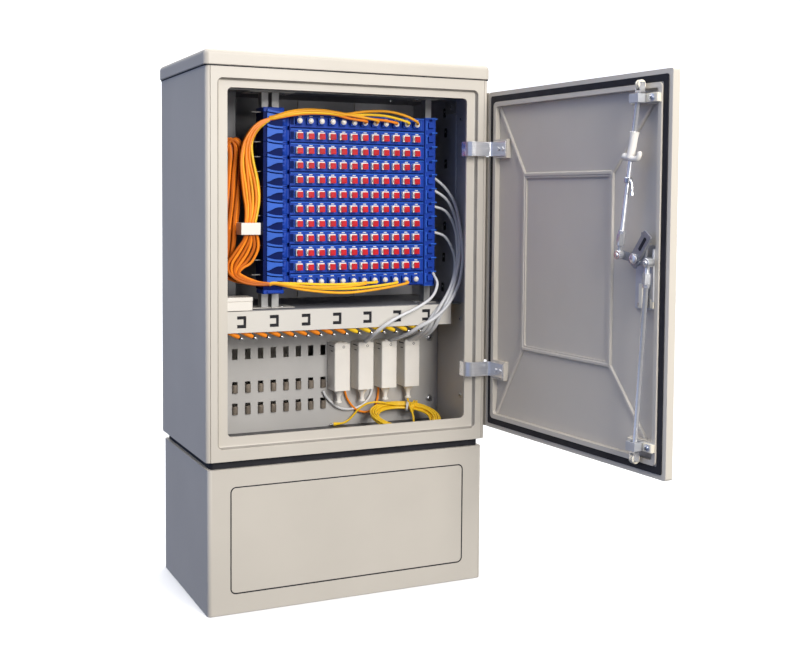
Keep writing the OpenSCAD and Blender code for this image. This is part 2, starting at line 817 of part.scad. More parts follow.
panel_in_free = 122;
panel_in_hinge = 91;
panel_in_low = 142.5;
panel_in_high = 137;
panel_x0 = lip_x0 + panel_in_free;
panel_x1 = lip_x1 - panel_in_hinge;
panel_z0 = lip_z0 + panel_in_low;
panel_z1 = lip_z1 - panel_in_high;
rib_h = 3;
diagonal_h = 2.5;
sink = 2;
door_r = 4;
lip_r = 8;
pad_w = 44;
pad_h = strap_h + 8;
rib_in = 3;
rib_from = lip_w - 1;

module rib(a, b) {
    d = b - a;
    translate([a.x, field_y, a.y]) rotate([0, -atan2(d.y, d.x), 0])
        translate([0, -sink, -rib_w / 2]) cube([norm(d), diagonal_h + sink, rib_w]);
}

module door_panel() {
    color(beige) on_door() difference() {
        union() {
            standing(outer_y, field_y) window(door_x0, door_x1, door_z0, door_z1, door_r);
            standing(outer_y, rim_y) difference() {
                window(door_x0, door_x1, door_z0, door_z1, door_r);
                window(lip_x0 + lip_w, lip_x1 - lip_w, lip_z0 + lip_w, lip_z1 - lip_w, lip_r - 2);
            }
            standing(field_y - sink, lip_y) difference() {
                window(lip_x0, lip_x1, lip_z0, lip_z1, lip_r);
                window(lip_x0 + lip_w, lip_x1 - lip_w, lip_z0 + lip_w, lip_z1 - lip_w, lip_r - 2);
            }
            for (z = strap_levels)
                block(lip_x1 - pad_w, lip_x1 - lip_w + sink, field_y - sink, lip_y,
                    z - pad_h / 2, z + pad_h / 2);
            for (g = rod_guides)
                block(lip_x0 + lip_w - sink, g.x + guide_half + guide_wing + sink, field_y - sink, lip_y,
                    g.y - guide_h / 2 - sink, g.y + guide_h / 2 + sink);
            standing(field_y - sink, field_y + rib_h) difference() {
                window(panel_x0, panel_x1, panel_z0, panel_z1, 6);
                window(panel_x0 + rib_w, panel_x1 - rib_w, panel_z0 + rib_w, panel_z1 - rib_w, 4);
            }
            rib([lip_x0 + rib_from, lip_z0 + rib_from], [panel_x0 + rib_in, panel_z0 + rib_in]);
            rib([lip_x0 + rib_from, lip_z1 - rib_from], [panel_x0 + rib_in, panel_z1 - rib_in]);
            rib([lip_x1 - rib_from, lip_z0 + rib_from], [panel_x1 - rib_in, panel_z0 + rib_in]);
            rib([lip_x1 - rib_from, lip_z1 - rib_from], [panel_x1 - rib_in, panel_z1 - rib_in]);
        }
        pin_y(lock_x, lock_zc, spindle_d / 2 + run_gap, outer_y - 1, lip_y + 1);
    }
}

module door_seal() {
    color(dark) on_door() standing(rim_y, rim_y + seal_t) difference() {
        window(door_x0 + seal_in, door_x1 - seal_in, door_z0 + seal_in, door_z1 - seal_in, door_r);
        window(door_x0 + seal_in + seal_w, door_x1 - seal_in - seal_w, door_z0 + seal_in + seal_w,
            door_z1 - seal_in - seal_w, door_r);
    }
}

// Hinges

knuckle_r = 4.2;
ear_h = 11;
arm_y = pivot.y - 2;
strap_screw_x = [lip_x1 - 20, lip_x1 - 34];
leg_y = front_y - 16.5;
leg_x = open_x - 8;
plate_in = door_point(lip_x1 - 6, lip_y + strap_t / 2);
plate_out = door_point(lip_x1 - pad_w + 2, lip_y + strap_t / 2);
plate_dir = unit(plate_out - plate_in);
leg_end = plate_in + plate_dir * (leg_y - plate_in.y) / plate_dir.y;
arm_start = [pivot.x, arm_y];
arm_corner = [leg_x, arm_y];
leg_corner = [leg_x, leg_y];
strap_path = concat(
    [arm_start],
    round_corner(arm_start, arm_corner, leg_corner, 6),
    round_corner(arm_corner, leg_corner, leg_end, 14),
    round_corner(leg_corner, leg_end, plate_out, 5),
    [plate_out]
);

module hinge_strap(z) {
    difference() {
        union() {
            translate([0, 0, z - strap_h / 2]) linear_extrude(strap_h) polygon(ribbon(strap_path, strap_t));
            pin_z(pivot.x, pivot.y, knuckle_r, z - strap_h / 2, z + strap_h / 2);
        }
        pin_z(pivot.x, pivot.y, hinge_pin_d / 2 + run_gap, z - strap_h, z + strap_h);
    }
    on_door() for (x = strap_screw_x)
        pin_y(x, z, small_head_r, lip_y + strap_t, lip_y + strap_t + head_t);
}

module hinge_straps() {
    color(steel) for (z = strap_levels) hinge_strap(z);
}

module hinge_brackets() {
    color(steel) for (z = strap_levels) {
        for (z0 = [z + strap_h / 2 + air_gap, z - strap_h / 2 - air_gap - ear_h])
            block(pivot.x - knuckle_r, in_x, pivot.y - knuckle_r, pivot.y + 10, z0, z0 + ear_h);
        pin_z(pivot.x, pivot.y, hinge_pin_d / 2, z - strap_h / 2 - ear_h, z + strap_h / 2 + ear_h);
    }
}

// Lock

base_t = 3;
base_x0 = lip_x0 + lip_w + air_gap;
base_out = 16;
base_up = 22;
base_down = 80;

// Bridge that a rod runs through, on a plate that spans the door's lip and its pad
module rod_guide(g) {
    top_y = rod_y + rod_d / 2 + 2.5;
    z0 = g.y - guide_h / 2;
    z1 = g.y + guide_h / 2;
    block(lip_x0 + 1, g.x + guide_half + guide_wing, lip_y, lip_y + base_t, z0, z1);
    for (x = [g.x - guide_half - base_t, g.x + guide_half])
        block(x, x + base_t, lip_y, top_y + base_t, z0, z1);
    block(g.x - guide_half - base_t, g.x + guide_half + base_t, top_y, top_y + base_t, z0, z1);
}

module lock_brackets() {
    color(steel) on_door() {
        difference() {
            union() {
                block(base_x0, lock_x + base_out, field_y, field_y + base_t,
                    lock_zc - base_down, lock_zc + base_up);
                block(base_x0, base_x0 + base_t, field_y, cam_y - 1,
                    lock_zc - base_down + 14, lock_zc + base_up - 6);
            }
            pin_y(lock_x, lock_zc, spindle_d / 2 + run_gap, field_y - 1, field_y + base_t + 1);
        }
        for (g = rod_guides) rod_guide(g);
    }
}

handle_gap = 1;
handle_t = 10;
handle_l = 110;

module lock_cam() {
    color(steel) on_door() {
        pin_y(lock_x, lock_zc, spindle_d / 2, outer_y - handle_gap - handle_t, cam_y + eps);
        for (p = [upper_pin, lower_pin]) pin_y(p.x, p.y, rod_pin_d / 2, cam_y, rod_y + rod_eye_r / 2 + 1);
        standing(cam_y, cam_y + cam_t) translate([lock_x, lock_zc]) rotate(cam_rest) {
            square([2 * cam_arm, 14], center = true);
            circle(12);
            for (s = [-1, 1]) translate([s * cam_arm, 0]) circle(7);
            translate([-22, 0]) square([16, 44]);
        }
        pin_y(lock_x, lock_zc, 8, cam_y + cam_t - eps, cam_y + cam_t + 4);
    }
}

module lock_handle() {
    color(steel) on_door() difference() {
        standing(outer_y - handle_gap - handle_t, outer_y - handle_gap) translate([lock_x, lock_zc]) {
            circle(18);
            translate([-9, -handle_l]) square([18, handle_l]);
            translate([0, -handle_l]) circle(9);
        }
        pin_y(lock_x, lock_zc, spindle_d / 2, outer_y - handle_gap - handle_t - 1, outer_y);
    }
}

// Rod from a cam pin to its roller, drawn on the closed door
module lock_rod(pin, end_x, end_z) {
    up = end_z > pin.y ? 1 : -1;
    d = [end_x, end_z] - pin;
    lean = atan2(d.x, d.y);
    stop = norm(d) - roller_d / 2 - 3;
    difference() {
        union() {
            pin_y(pin.x, pin.y, rod_eye_r, rod_y - rod_eye_r / 2, rod_y + rod_eye_r / 2);
            translate([pin.x, rod_y, pin.y]) rotate([0, lean, 0]) {
                cylinder(d = rod_d, h = stop);
                translate([0, 0, 16]) cylinder(d = rod_d + 6, h = 18, $fn = 6);
            }
            fork(end_x, end_z, up);
        }
        pin_y(pin.x, pin.y, rod_pin_d / 2 + run_gap, rod_y - rod_d, rod_y + rod_d);
    }
    pin_x(roller_y, end_z, 2.5, end_x - roller_w / 2 - 3, end_x + roller_w / 2 + 3);
}

// Fork on the end of a rod, with the roller between its cheeks
module fork(x, z, up) {
    inner = roller_w / 2 + air_gap;
    z0 = z - up * (roller_d / 2 + 5);
    for (s = [-1, 1]) block(x + (s > 0 ? inner : -inner - 2.5), x + (s > 0 ? inner + 2.5 : -inner),
        min(roller_y, rod_y) - 4, max(roller_y, rod_y) + 4, min(z0, z + up * 4), max(z0, z + up * 4));
    block(x - inner - 2.5, x + inner + 2.5, min(roller_y, rod_y) - 4, max(roller_y, rod_y) + 4,
        min(z0, z0 + up * 3), max(z0, z0 + up * 3));
}

module upper_rod() {
    color(steel) on_door() lock_rod(upper_pin, upper_roller_x, upper_roller_z);
}

module lower_rod() {
    color(steel) on_door() lock_rod(lower_pin, lower_roller_x, lower_roller_z);
}

sleeve_from = 150;
sleeve_l = 36;

module rod_sleeve() {
    d = [upper_roller_x, upper_roller_z] - upper_pin;
    color(white) on_door() translate([upper_pin.x, rod_y, upper_pin.y]) rotate([0, atan2(d.x, d.y), 0])
        translate([0, 0, sleeve_from]) difference() {
            union() {
                cylinder(d = rod_d + 7, h = sleeve_l);
                translate([0, -3, 0]) cube([16, 6, 8]);
            }
            translate([0, 0, -1]) cylinder(d = rod_d + 2 * run_gap, h = sleeve_l + 2);
        }
}

module roller(x, z) {
    difference() {
        pin_x(roller_y, z, roller_d / 2, x - roller_w / 2, x + roller_w / 2);
        pin_x(roller_y, z, 2.5 + run_gap, x - roller_w, x + roller_w);
    }
}

module upper_roller() {
    color(white) on_door() roller(upper_roller_x, upper_roller_z);
}

module lower_roller() {
    color(white) on_door() roller(lower_roller_x, lower_roller_z);
}

plinth_shell();
plinth_cover();
neck_seal();
floor_plate();
left_side_panel();
right_side_panel();
rear_panel();
front_frame();
roof_cap();
equipment_frame();
fibre_guides();
tray_latch_bar();
cable_shelf();
slotted_plate();
cable_boxes();
cable_clip();
storage_box();
hinge_brackets();
frame_screws();
patch_fibres();
grey_cables();
parked_connectors();
yellow_coil();
door_panel();
door_seal();
hinge_straps();
lock_brackets();
lock_cam();
lock_handle();
upper_rod();
rod_sleeve();
lower_rod();
upper_roller();
lower_roller();
top_tray_fibres();
bottom_tray_fibres();
for (i = [0:tray_count - 1]) {
    tray(i);
    adapter_row(i);
}
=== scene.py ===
# Looks of the fibre cross-connect street cabinet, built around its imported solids.
# Lengths in this script are millimetres in the part's own frame; pieces are scaled to metres when made.
import json
import math
import random

import bmesh
import bpy
from mathutils import Matrix, Vector


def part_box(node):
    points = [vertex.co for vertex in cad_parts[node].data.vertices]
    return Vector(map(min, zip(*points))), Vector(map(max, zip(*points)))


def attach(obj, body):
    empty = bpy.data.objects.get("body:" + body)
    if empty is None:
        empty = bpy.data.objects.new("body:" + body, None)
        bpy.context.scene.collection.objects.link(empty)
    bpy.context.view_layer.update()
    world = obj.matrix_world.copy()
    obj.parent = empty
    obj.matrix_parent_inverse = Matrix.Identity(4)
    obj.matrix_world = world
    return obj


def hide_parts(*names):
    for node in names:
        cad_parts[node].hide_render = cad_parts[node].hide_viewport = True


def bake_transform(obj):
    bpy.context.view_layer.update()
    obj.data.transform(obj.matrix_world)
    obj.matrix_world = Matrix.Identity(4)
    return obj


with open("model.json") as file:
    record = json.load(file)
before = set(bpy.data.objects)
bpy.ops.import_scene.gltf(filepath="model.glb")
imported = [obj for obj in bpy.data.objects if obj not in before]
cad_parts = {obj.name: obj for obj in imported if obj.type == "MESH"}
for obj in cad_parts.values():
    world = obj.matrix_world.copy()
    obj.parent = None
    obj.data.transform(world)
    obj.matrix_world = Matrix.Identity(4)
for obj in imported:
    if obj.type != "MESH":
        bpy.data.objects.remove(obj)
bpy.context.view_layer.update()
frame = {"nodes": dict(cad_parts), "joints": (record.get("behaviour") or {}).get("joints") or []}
nodes = frame["nodes"]
joints = {j["name"]: j for j in frame["joints"]}
scene = bpy.context.scene
MM = 0.001


def span(node):
    """Lowest and highest corner of a solid, in millimetres."""
    lo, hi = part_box(node)
    return lo / MM, hi / MM


# Materials


def principled(name):
    mat = bpy.data.materials.new(name)
    mat.use_nodes = True
    tree = mat.node_tree
    return mat, tree, tree.nodes["Principled BSDF"]


def noise(tree, scale, detail=3.0, stretch=(1, 1, 1)):
    """Noise in the part's own coordinates, in cycles per metre."""
    coords = tree.nodes.new("ShaderNodeTexCoord")
    mapping = tree.nodes.new("ShaderNodeMapping")
    mapping.inputs["Scale"].default_value = stretch
    texture = tree.nodes.new("ShaderNodeTexNoise")
    texture.inputs["Scale"].default_value = scale
    texture.inputs["Detail"].default_value = detail
    tree.links.new(coords.outputs["Object"], mapping.inputs["Vector"])
    tree.links.new(mapping.outputs["Vector"], texture.inputs["Vector"])
    return texture.outputs["Fac"]


def between(tree, fac, low, high, start=0.3, stop=0.7):
    """Value that goes from low to high as a texture goes from start to stop."""
    ramp = tree.nodes.new("ShaderNodeMapRange")
    for key, value in (("From Min", start), ("From Max", stop), ("To Min", low), ("To Max", high)):
        ramp.inputs[key].default_value = value
    tree.links.new(fac, ramp.inputs["Value"])
    return ramp.outputs["Result"]


def mix_colour(tree, fac, low, high, start=0.35, stop=0.65):
    ramp = tree.nodes.new("ShaderNodeValToRGB")
    for element, place, colour in zip(ramp.color_ramp.elements, (start, stop), (low, high)):
        element.position = place
        element.color = (*colour, 1)
    tree.links.new(fac, ramp.inputs["Fac"])
    return ramp.outputs["Color"]


def scaled(colour, k):
    return tuple(min(1.0, c * k) for c in colour)


def surface(name, colour, rough=0.5, metal=0.0, tone=0.05, blotch=7, grain=900, bump=0.08, stretch=(1, 1, 1),
            spread=0.06, coat=0.0, spec=0.5):
    """Moulded, painted or plated surface: slow colour change, fine grain in the bump and uneven gloss."""
    mat, tree, shader = principled(name)
    shader.inputs["Metallic"].default_value = metal
    shader.inputs["Coat Weight"].default_value = coat
    shader.inputs["Specular IOR Level"].default_value = spec
    cloud = noise(tree, blotch, 4.0, stretch)
    base = mix_colour(tree, cloud, scaled(colour, 1 - tone), scaled(colour, 1 + tone))
    tree.links.new(base, shader.inputs["Base Color"])
    fine = noise(tree, grain, 2.0, stretch)
    tree.links.new(between(tree, fine, rough - spread, rough + spread), shader.inputs["Roughness"])
    relief = tree.nodes.new("ShaderNodeBump")
    relief.inputs["Strength"].default_value = bump
    relief.inputs["Distance"].default_value = 0.0004
    tree.links.new(fine, relief.inputs["Height"])
    tree.links.new(relief.outputs["Normal"], shader.inputs["Normal"])
    return mat


BODY = surface("moulded_body", (0.56, 0.52, 0.455), rough=0.42, tone=0.03, blotch=5, grain=1400, bump=0.12)
# Darker copy of the body colour: painted shade in the crease round the door recess
CREASE_SHADE = surface("painted_crease_shade", (0.27, 0.25, 0.22), tone=0.12, blotch=18, grain=1400, bump=0.12)
# Black rubber for seals, brackets, slots and cuts; also painted as the shadow under the roof and the shade in the
# plinth groove
RUBBER_AND_SHADE = surface("black_rubber", (0.016, 0.016, 0.021), spec=0.25, rough=0.6, tone=0.2, blotch=40, grain=700, bump=0.2)
# Dark sheet for the shelf mat; also painted as the shade behind the orange bundle
DARK_AND_SHADE = surface("dark_liner_and_painted_shade", (0.2, 0.2, 0.215), tone=0.12, blotch=9, bump=0.1)
UPRIGHT = surface("dark_upright", (0.11, 0.11, 0.12), rough=0.45, tone=0.12, blotch=9, bump=0.1)
GREY = surface("grey_sheet", (0.46, 0.45, 0.435), rough=0.45, tone=0.07, blotch=6, grain=1100, bump=0.1)
LINER = surface("grey_liner", (0.44, 0.44, 0.46), rough=0.45, tone=0.1, bump=0.1)
FLOOR_SHEET = surface("floor_sheet", (0.05, 0.05, 0.055), rough=0.45, tone=0.15, blotch=8, bump=0.1)
PALE = surface("pale_sheet", (0.62, 0.595, 0.545), rough=0.42, tone=0.03, blotch=8, grain=1200)
POST = surface("galvanised_post", (0.36, 0.36, 0.355), rough=0.42, metal=0.45, tone=0.12, blotch=60, grain=500,
               bump=0.06)
BLUE = surface("blue_plastic", (0.01, 0.05, 0.36), spec=0.15, rough=0.42, tone=0.1, blotch=14, grain=1500)
# Deep blue plastic; also painted as the shade in the trays' recesses and in the gaps between rows
DEEP_BLUE_AND_SHADE = surface("deep_blue_plastic_and_painted_shade", (0.003, 0.011, 0.09), spec=0.05, rough=0.45, tone=0.15, blotch=14, grain=1500)
LIGHT_BLUE = surface("light_blue_plastic", (0.03, 0.12, 0.55), spec=0.2, rough=0.36, tone=0.1, blotch=16, grain=1500,
                     bump=0.06)
WHITE = surface("white_plastic", (0.82, 0.785, 0.72), rough=0.3, tone=0.03, blotch=18, grain=1500, bump=0.05)
CREAM = surface("cream_plastic", (0.74, 0.69, 0.57), rough=0.32, blotch=25, grain=1500, bump=0.05)
RED = surface("red_plastic", (0.53, 0.008, 0.017), spec=0.3, rough=0.34, tone=0.12, blotch=60, grain=1500, bump=0.05)
STEEL = surface("bright_steel", (0.74, 0.745, 0.76), rough=0.16, metal=0.72, blotch=30, grain=260, bump=0.03,
                stretch=(1, 1, 14), spread=0.07)
ZINC = surface("zinc_plate", (0.62, 0.63, 0.65), rough=0.3, metal=1.0, tone=0.1, blotch=70, bump=0.05)
CAST = surface("cast_zinc", (0.5, 0.51, 0.535), rough=0.36, metal=0.4, tone=0.1, blotch=40, bump=0.06)
LEVER = surface("dark_zinc", (0.27, 0.275, 0.295), rough=0.32, metal=0.5, tone=0.12, blotch=40, bump=0.06)
BRONZE = surface("tab_metal", (0.22, 0.185, 0.15), rough=0.4, metal=0.8, tone=0.2, blotch=50, bump=0.06)
JACKET = dict(spec=0.25, blotch=9, grain=1200, bump=0.05)
ORANGE = surface("orange_jacket", (0.86, 0.25, 0.016), rough=0.38, tone=0.16, **JACKET)
# Darker and lighter copies of the orange jacket: painted shade and painted highlight on the bundle's strands
SHADED_ORANGE = surface("orange_fibre_painted_shade", (0.52, 0.125, 0.01), rough=0.36, tone=0.2, **JACKET)
AMBER_AND_HIGHLIGHT = surface("amber_jacket_and_painted_highlight", (0.93, 0.41, 0.025), rough=0.38, tone=0.14, **JACKET)
YELLOW = surface("yellow_jacket", (0.9, 0.57, 0.025), spec=0.3, rough=0.36, tone=0.1, blotch=12, grain=1200, bump=0.05)
CABLE_GREY = surface("grey_jacket", (0.66, 0.665, 0.67), rough=0.36, tone=0.08, blotch=12, grain=1200, bump=0.05)

# Shapes


def add_block(bm, lo, hi):
    for v in bmesh.ops.create_cube(bm, size=1.0)["verts"]:
        v.co = [(lo[i] if v.co[i] < 0 else hi[i]) for i in range(3)]


def join(bm, p, q):
    """Faces between two closed rings of vertices of equal length."""
    n = len(p)
    for k in range(n):
        bm.faces.new((p[k], p[(k + 1) % n], q[(k + 1) % n], q[k]))


AXES = {"x": (1, 2, 0), "y": (0, 2, 1), "z": (0, 1, 2)}


def add_prism(bm, outline, axis, start, stop):
    """Solid from an outline across an axis: (y, z) for x, (x, z) for y, (x, y) for z."""
    a, b, c = AXES[axis]
    rings = []
    for level in (start, stop):
        ring = []
        for p in outline:
            co = [0.0, 0.0, 0.0]
            co[a], co[b], co[c] = p[0], p[1], level
            ring.append(bm.verts.new(co))
        rings.append(ring)
    bm.faces.new(rings[0])
    bm.faces.new(rings[1])
    join(bm, *rings)


def add_lathe(bm, profile, centre, axis, sides=24):
    """Solid of revolution: profile holds (distance along the axis, radius), from one end to the other."""
    axis = Vector(axis).normalized()
    side = axis.orthogonal().normalized()
    other = axis.cross(side)
    centre = Vector(centre)
    rings = []
    for reach, radius in profile:
        ring = []
        for k in range(sides):
            a = 2 * math.pi * k / sides
            ring.append(bm.verts.new(centre + axis * reach + radius * (side * math.cos(a) + other * math.sin(a))))
        rings.append(ring)
    bm.faces.new(rings[0])
    bm.faces.new(rings[-1])
    for p, q in zip(rings, rings[1:]):
        join(bm, p, q)


def smooth(points, steps=6):
    """Catmull-Rom curve through the points."""
    pts = [Vector(p) for p in points]
    out = []
    for i in range(len(pts) - 1):
        a, b, c, d = pts[max(i - 1, 0)], pts[i], pts[i + 1], pts[min(i + 2, len(pts) - 1)]
        for k in range(steps):
            t = k / steps
            out.append(0.5 * (2 * b + (c - a) * t + (2 * a - 5 * b + 4 * c - d) * t ** 2
                              + (3 * b - a - 3 * c + d) * t ** 3))
    return out + [pts[-1]]


def add_tube(bm, path, radius, sides=8):
    """Round tube along a path, with a frame carried along it so that it never twists."""
    n = len(path)
    heading = [(path[min(i + 1, n - 1)] - path[max(i - 1, 0)]).normalized() for i in range(n)]
    side = heading[0].orthogonal().normalized()
    rings = []
    for i in range(n):
        side = (side - heading[i] * side.dot(heading[i])).normalized()
        other = heading[i].cross(side)
        r = radius[i] if isinstance(radius, (list, tuple)) else radius
        angles = [2 * math.pi * k / sides for k in range(sides)]
        rings.append([bm.verts.new(path[i] + r * (side * math.cos(a) + other * math.sin(a))) for a in angles])
    bm.faces.new(rings[0])
    bm.faces.new(rings[-1])
    for p, q in zip(rings, rings[1:]):
        join(bm, p, q)


def rounded(x0, x1, y0, y1, r, n=6):
    """Outline of a rectangle with rounded corners."""
    out = []
    for cx, cy, start in ((x1 - r, y1 - r, 0), (x0 + r, y1 - r, 90), (x0 + r, y0 + r, 180), (x1 - r, y0 + r, 270)):
        for k in range(n + 1):
            a = math.radians(start + 90 * k / n)
            out.append((cx + r * math.cos(a), cy + r * math.sin(a)))
    return out


SHARP = math.radians(32)


def soften(obj, width, segments=2):
    mod = obj.modifiers.new("soft_edges", "BEVEL")
    mod.width = width * MM
    mod.segments = segments
    mod.limit_method = "ANGLE"
    mod.angle_limit = SHARP
    mod.harden_normals = True


def piece(name, bm, material, body, bevel=0.0, place=None, stands_for=()):
    """Makes an object of what was drawn, in metres, and lets it ride on a body."""
    bmesh.ops.recalc_face_normals(bm, faces=bm.faces)
    if place is not None:
        bmesh.ops.transform(bm, matrix=place, verts=bm.verts)
    bmesh.ops.scale(bm, vec=(MM, MM, MM), verts=bm.verts)
    mesh = bpy.data.meshes.new(name)
    bm.to_mesh(mesh)
    bm.free()
    mesh.materials.append(material)
    mesh.shade_smooth()
    mesh.set_sharp_from_angle(angle=SHARP)
    obj = bpy.data.objects.new(name, mesh)
    scene.collection.objects.link(obj)
    if bevel:
        soften(obj, bevel)
    if body:
        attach(obj, body)
    if stands_for:
        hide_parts(*stands_for)
    return obj


def fixed(name, bm, material, bevel=0.0, stands_for=()):
    """A piece that rides on the cabinet."""
    return piece(name, bm, material, "cabinet", bevel, stands_for=stands_for)


def dress(node, material, bevel=0.0, segments=2):
    """Gives a solid its material and soft edges; its own mesh stays as it is."""
    obj = nodes[node]
    obj.data.materials.clear()
    obj.data.materials.append(material)
    if bevel:
        weld = obj.modifiers.new("weld", "WELD")
        weld.merge_threshold = 1e-6
        flat = obj.modifiers.new("flat_faces", "DECIMATE")
        flat.decimate_type = "DISSOLVE"
        flat.angle_limit = math.radians(1)
        soften(obj, bevel, segments)
    return obj


# Camera, floor and light

IMAGE = (800, 651)
FOCAL = 1146.3
MIDDLE = (386.5, 260.3)
EYE = Vector((-812.8, -2062.7, 729.8))
YAW, PITCH, ROLL = (math.radians(a) for a in (24.737, -3.044, 0.384))
SENSOR = 36.0

ahead = Vector((math.sin(YAW) * math.cos(PITCH), math.cos(YAW) * math.cos(PITCH), math.sin(PITCH)))
level = Vector((math.cos(YAW), -math.sin(YAW), 0))
upright = level.cross(ahead)
right = math.cos(ROLL) * level + math.sin(ROLL) * upright
up = -math.sin(ROLL) * level + math.cos(ROLL) * upright

camera = bpy.data.objects.new("camera", bpy.data.cameras.new("camera"))
camera.data.sensor_width = SENSOR
camera.data.lens = FOCAL / IMAGE[0] * SENSOR
camera.data.shift_x = (IMAGE[0] / 2 - MIDDLE[0]) / IMAGE[0]
camera.data.shift_y = (MIDDLE[1] - IMAGE[1] / 2) / IMAGE[0]
camera.matrix_world = Matrix(((right.x, up.x, -ahead.x, EYE.x * MM), (right.y, up.y, -ahead.y, EYE.y * MM),
                              (right.z, up.z, -ahead.z, EYE.z * MM), (0, 0, 0, 1)))
scene.collection.objects.link(camera)
scene.camera = camera

# The floor gets light but gives none back, so that the part is lit by the world and the lamps alone

FLOOR_HALF, FLOOR_DROP = 30, 0.001
floor_mesh = bpy.data.meshes.new("floor")
floor_mesh.from_pydata([(x * FLOOR_HALF, y * FLOOR_HALF, 0) for x, y in ((-1, -1), (1, -1), (1, 1), (-1, 1))],
                       [], [(0, 1, 2, 3)])
floor_mesh.materials.append(surface("floor", (0.95, 0.95, 0.95), rough=0.8, tone=0.01, blotch=2, grain=60, bump=0.02))
floor = bpy.data.objects.new("floor", floor_mesh)
floor.location.z = -FLOOR_DROP
scene.collection.objects.link(floor)
floor.visible_diffuse = False
floor.visible_glossy = False

# White backdrop round the floor: only the camera sees it, so that it neither lights nor shades the part

BACK_R, BACK_FOOT, BACK_SIDES = 24.0, -0.02, 48
angles = [2 * math.pi * k / BACK_SIDES for k in range(BACK_SIDES)]
corners = [(BACK_R * math.cos(a), BACK_R * math.sin(a), z) for z in (BACK_FOOT, BACK_R) for a in angles]
pairs = [(k, (k + 1) % BACK_SIDES) for k in range(BACK_SIDES)]
back_mesh = bpy.data.meshes.new("backdrop")
back_mesh.from_pydata(corners, [], [(a, b, b + BACK_SIDES, a + BACK_SIDES) for a, b in pairs]
                      + [tuple(range(BACK_SIDES, 2 * BACK_SIDES))])
paper = surface("backdrop", (0.9, 0.9, 0.9), rough=0.9, tone=0.01, blotch=1, grain=40, bump=0.01)
paper_shader = paper.node_tree.nodes["Principled BSDF"]
paper_shader.inputs["Emission Color"].default_value = (1.0, 1.0, 1.0, 1.0)
paper_shader.inputs["Emission Strength"].default_value = 1.0
back_mesh.materials.append(paper)
backdrop_wall = bpy.data.objects.new("backdrop", back_mesh)
scene.collection.objects.link(backdrop_wall)
backdrop_wall.visible_diffuse = False
backdrop_wall.visible_glossy = False
backdrop_wall.visible_transmission = False
backdrop_wall.visible_shadow = False

# World: bluish from the left, then a dark band, then white to the right; strong from above, dim from below, and
# dimmer from the front than from behind

SKY_COLOURS = ((0.455, 0.585, 0.99), (0.425, 0.545, 0.94), (0.08, 0.11, 0.18), (0.08, 0.11, 0.18), (1.0, 1.0, 1.0))
SKY_PLACES = (0.32, 0.44, 0.7)

scene.view_settings.view_transform = "Standard"
world = bpy.data.worlds.new("studio")
scene.world = world
world.use_nodes = True
sky = world.node_tree
background = sky.nodes["Background"]
direction = sky.nodes.new("ShaderNodeTexCoord")
split = sky.nodes.new("ShaderNodeSeparateXYZ")
sky.links.new(direction.outputs["Generated"], split.inputs["Vector"])
ramp = sky.nodes.new("ShaderNodeValToRGB")
stops = ramp.color_ramp.elements
stops[1].position = 1.0
for place in SKY_PLACES:
    stops.new(place)
for stop, colour in zip(stops, SKY_COLOURS):
    stop.color = (*colour, 1)
sky.links.new(between(sky, split.outputs["X"], 0.0, 1.0, -1.0, 0.06), ramp.inputs["Fac"])
white = sky.nodes.new("ShaderNodeMix")
white.data_type = "RGBA"
white.inputs["B"].default_value = (1.0, 1.0, 1.0, 1.0)
sky.links.new(between(sky, split.outputs["Z"], 0.0, 1.0, 0.55, 0.75), white.inputs["Factor"])
sky.links.new(ramp.outputs["Color"], white.inputs["A"])
sky.links.new(white.outputs["Result"], background.inputs["Color"])
product = sky.nodes.new("ShaderNodeMath")
product.operation = "MULTIPLY"
sky.links.new(between(sky, split.outputs["Y"], 0.55, 1.0, -0.3, 0.5), product.inputs[0])
sky.links.new(between(sky, split.outputs["Z"], 1.0, 3.1, 0.5, 0.85), product.inputs[1])
below = sky.nodes.new("ShaderNodeMath")
below.operation = "MULTIPLY"
sky.links.new(product.outputs["Value"], below.inputs[0])
sky.links.new(between(sky, split.outputs["Z"], 0.32, 1.0, -0.3, -0.06), below.inputs[1])
sky.links.new(below.outputs["Value"], background.inputs["Strength"])


def area_light(name, place, target, size, power, colour=(1, 1, 1)):
    data = bpy.data.lights.new(name, "AREA")
    data.size = size
    data.energy = power
    data.color = colour
    lamp = bpy.data.objects.new(name, data)
    lamp.location = place
    lamp.rotation_euler = (Vector(target) - Vector(place)).to_track_quat("-Z", "Y").to_euler()
    scene.collection.objects.link(lamp)


area_light("key", (0.25, -2.9, 1.7), (0, 0, 0.6), 1.2, 76, (1.0, 0.965, 0.92))
area_light("fill", (-0.05, -3.2, 0.62), (0, 0, 0.6), 0.7, 15, (1.0, 0.97, 0.95))

ROWS = 12
ROW_Z = [sum(c.z for c in span("tray_%02d" % (i + 1))) / 2 for i in range(ROWS)]

# Yellow coil: leaves the fourth cable box, turns into two layers on the floor, and ends in a connector at the left

COIL = Vector((162, -42, 301.5))
TILT = math.radians(13.5)
CORD_R = 2.0


def on_coil(u, v, w):
    """Point in the coil's own tilted plane: u to the right, v to the back, w upwards."""
    c, s = math.cos(TILT), math.sin(TILT)
    return Vector((COIL.x + u, COIL.y + v * c - w * s, COIL.z + v * s + w * c))


TURNS, LOWER_TURNS, COIL_STEP = 7.43, 4.33, 4.7


def coil_point(turn):
    """Spiral that grows in the lower layer and then shrinks in the upper one."""
    a = math.radians(290) + 2 * math.pi * turn
    r = 50 + COIL_STEP * min(turn, LOWER_TURNS) - COIL_STEP * max(turn - LOWER_TURNS, 0) + 1.2 * math.sin(3 * a + 0.5)
    w = -2.3 + 4.9 * min(max((turn - 4) / 0.33, 0), 1) + 0.8 * math.sin(2 * a + 1)
    return on_coil(r * math.cos(a), r * math.sin(a), w)


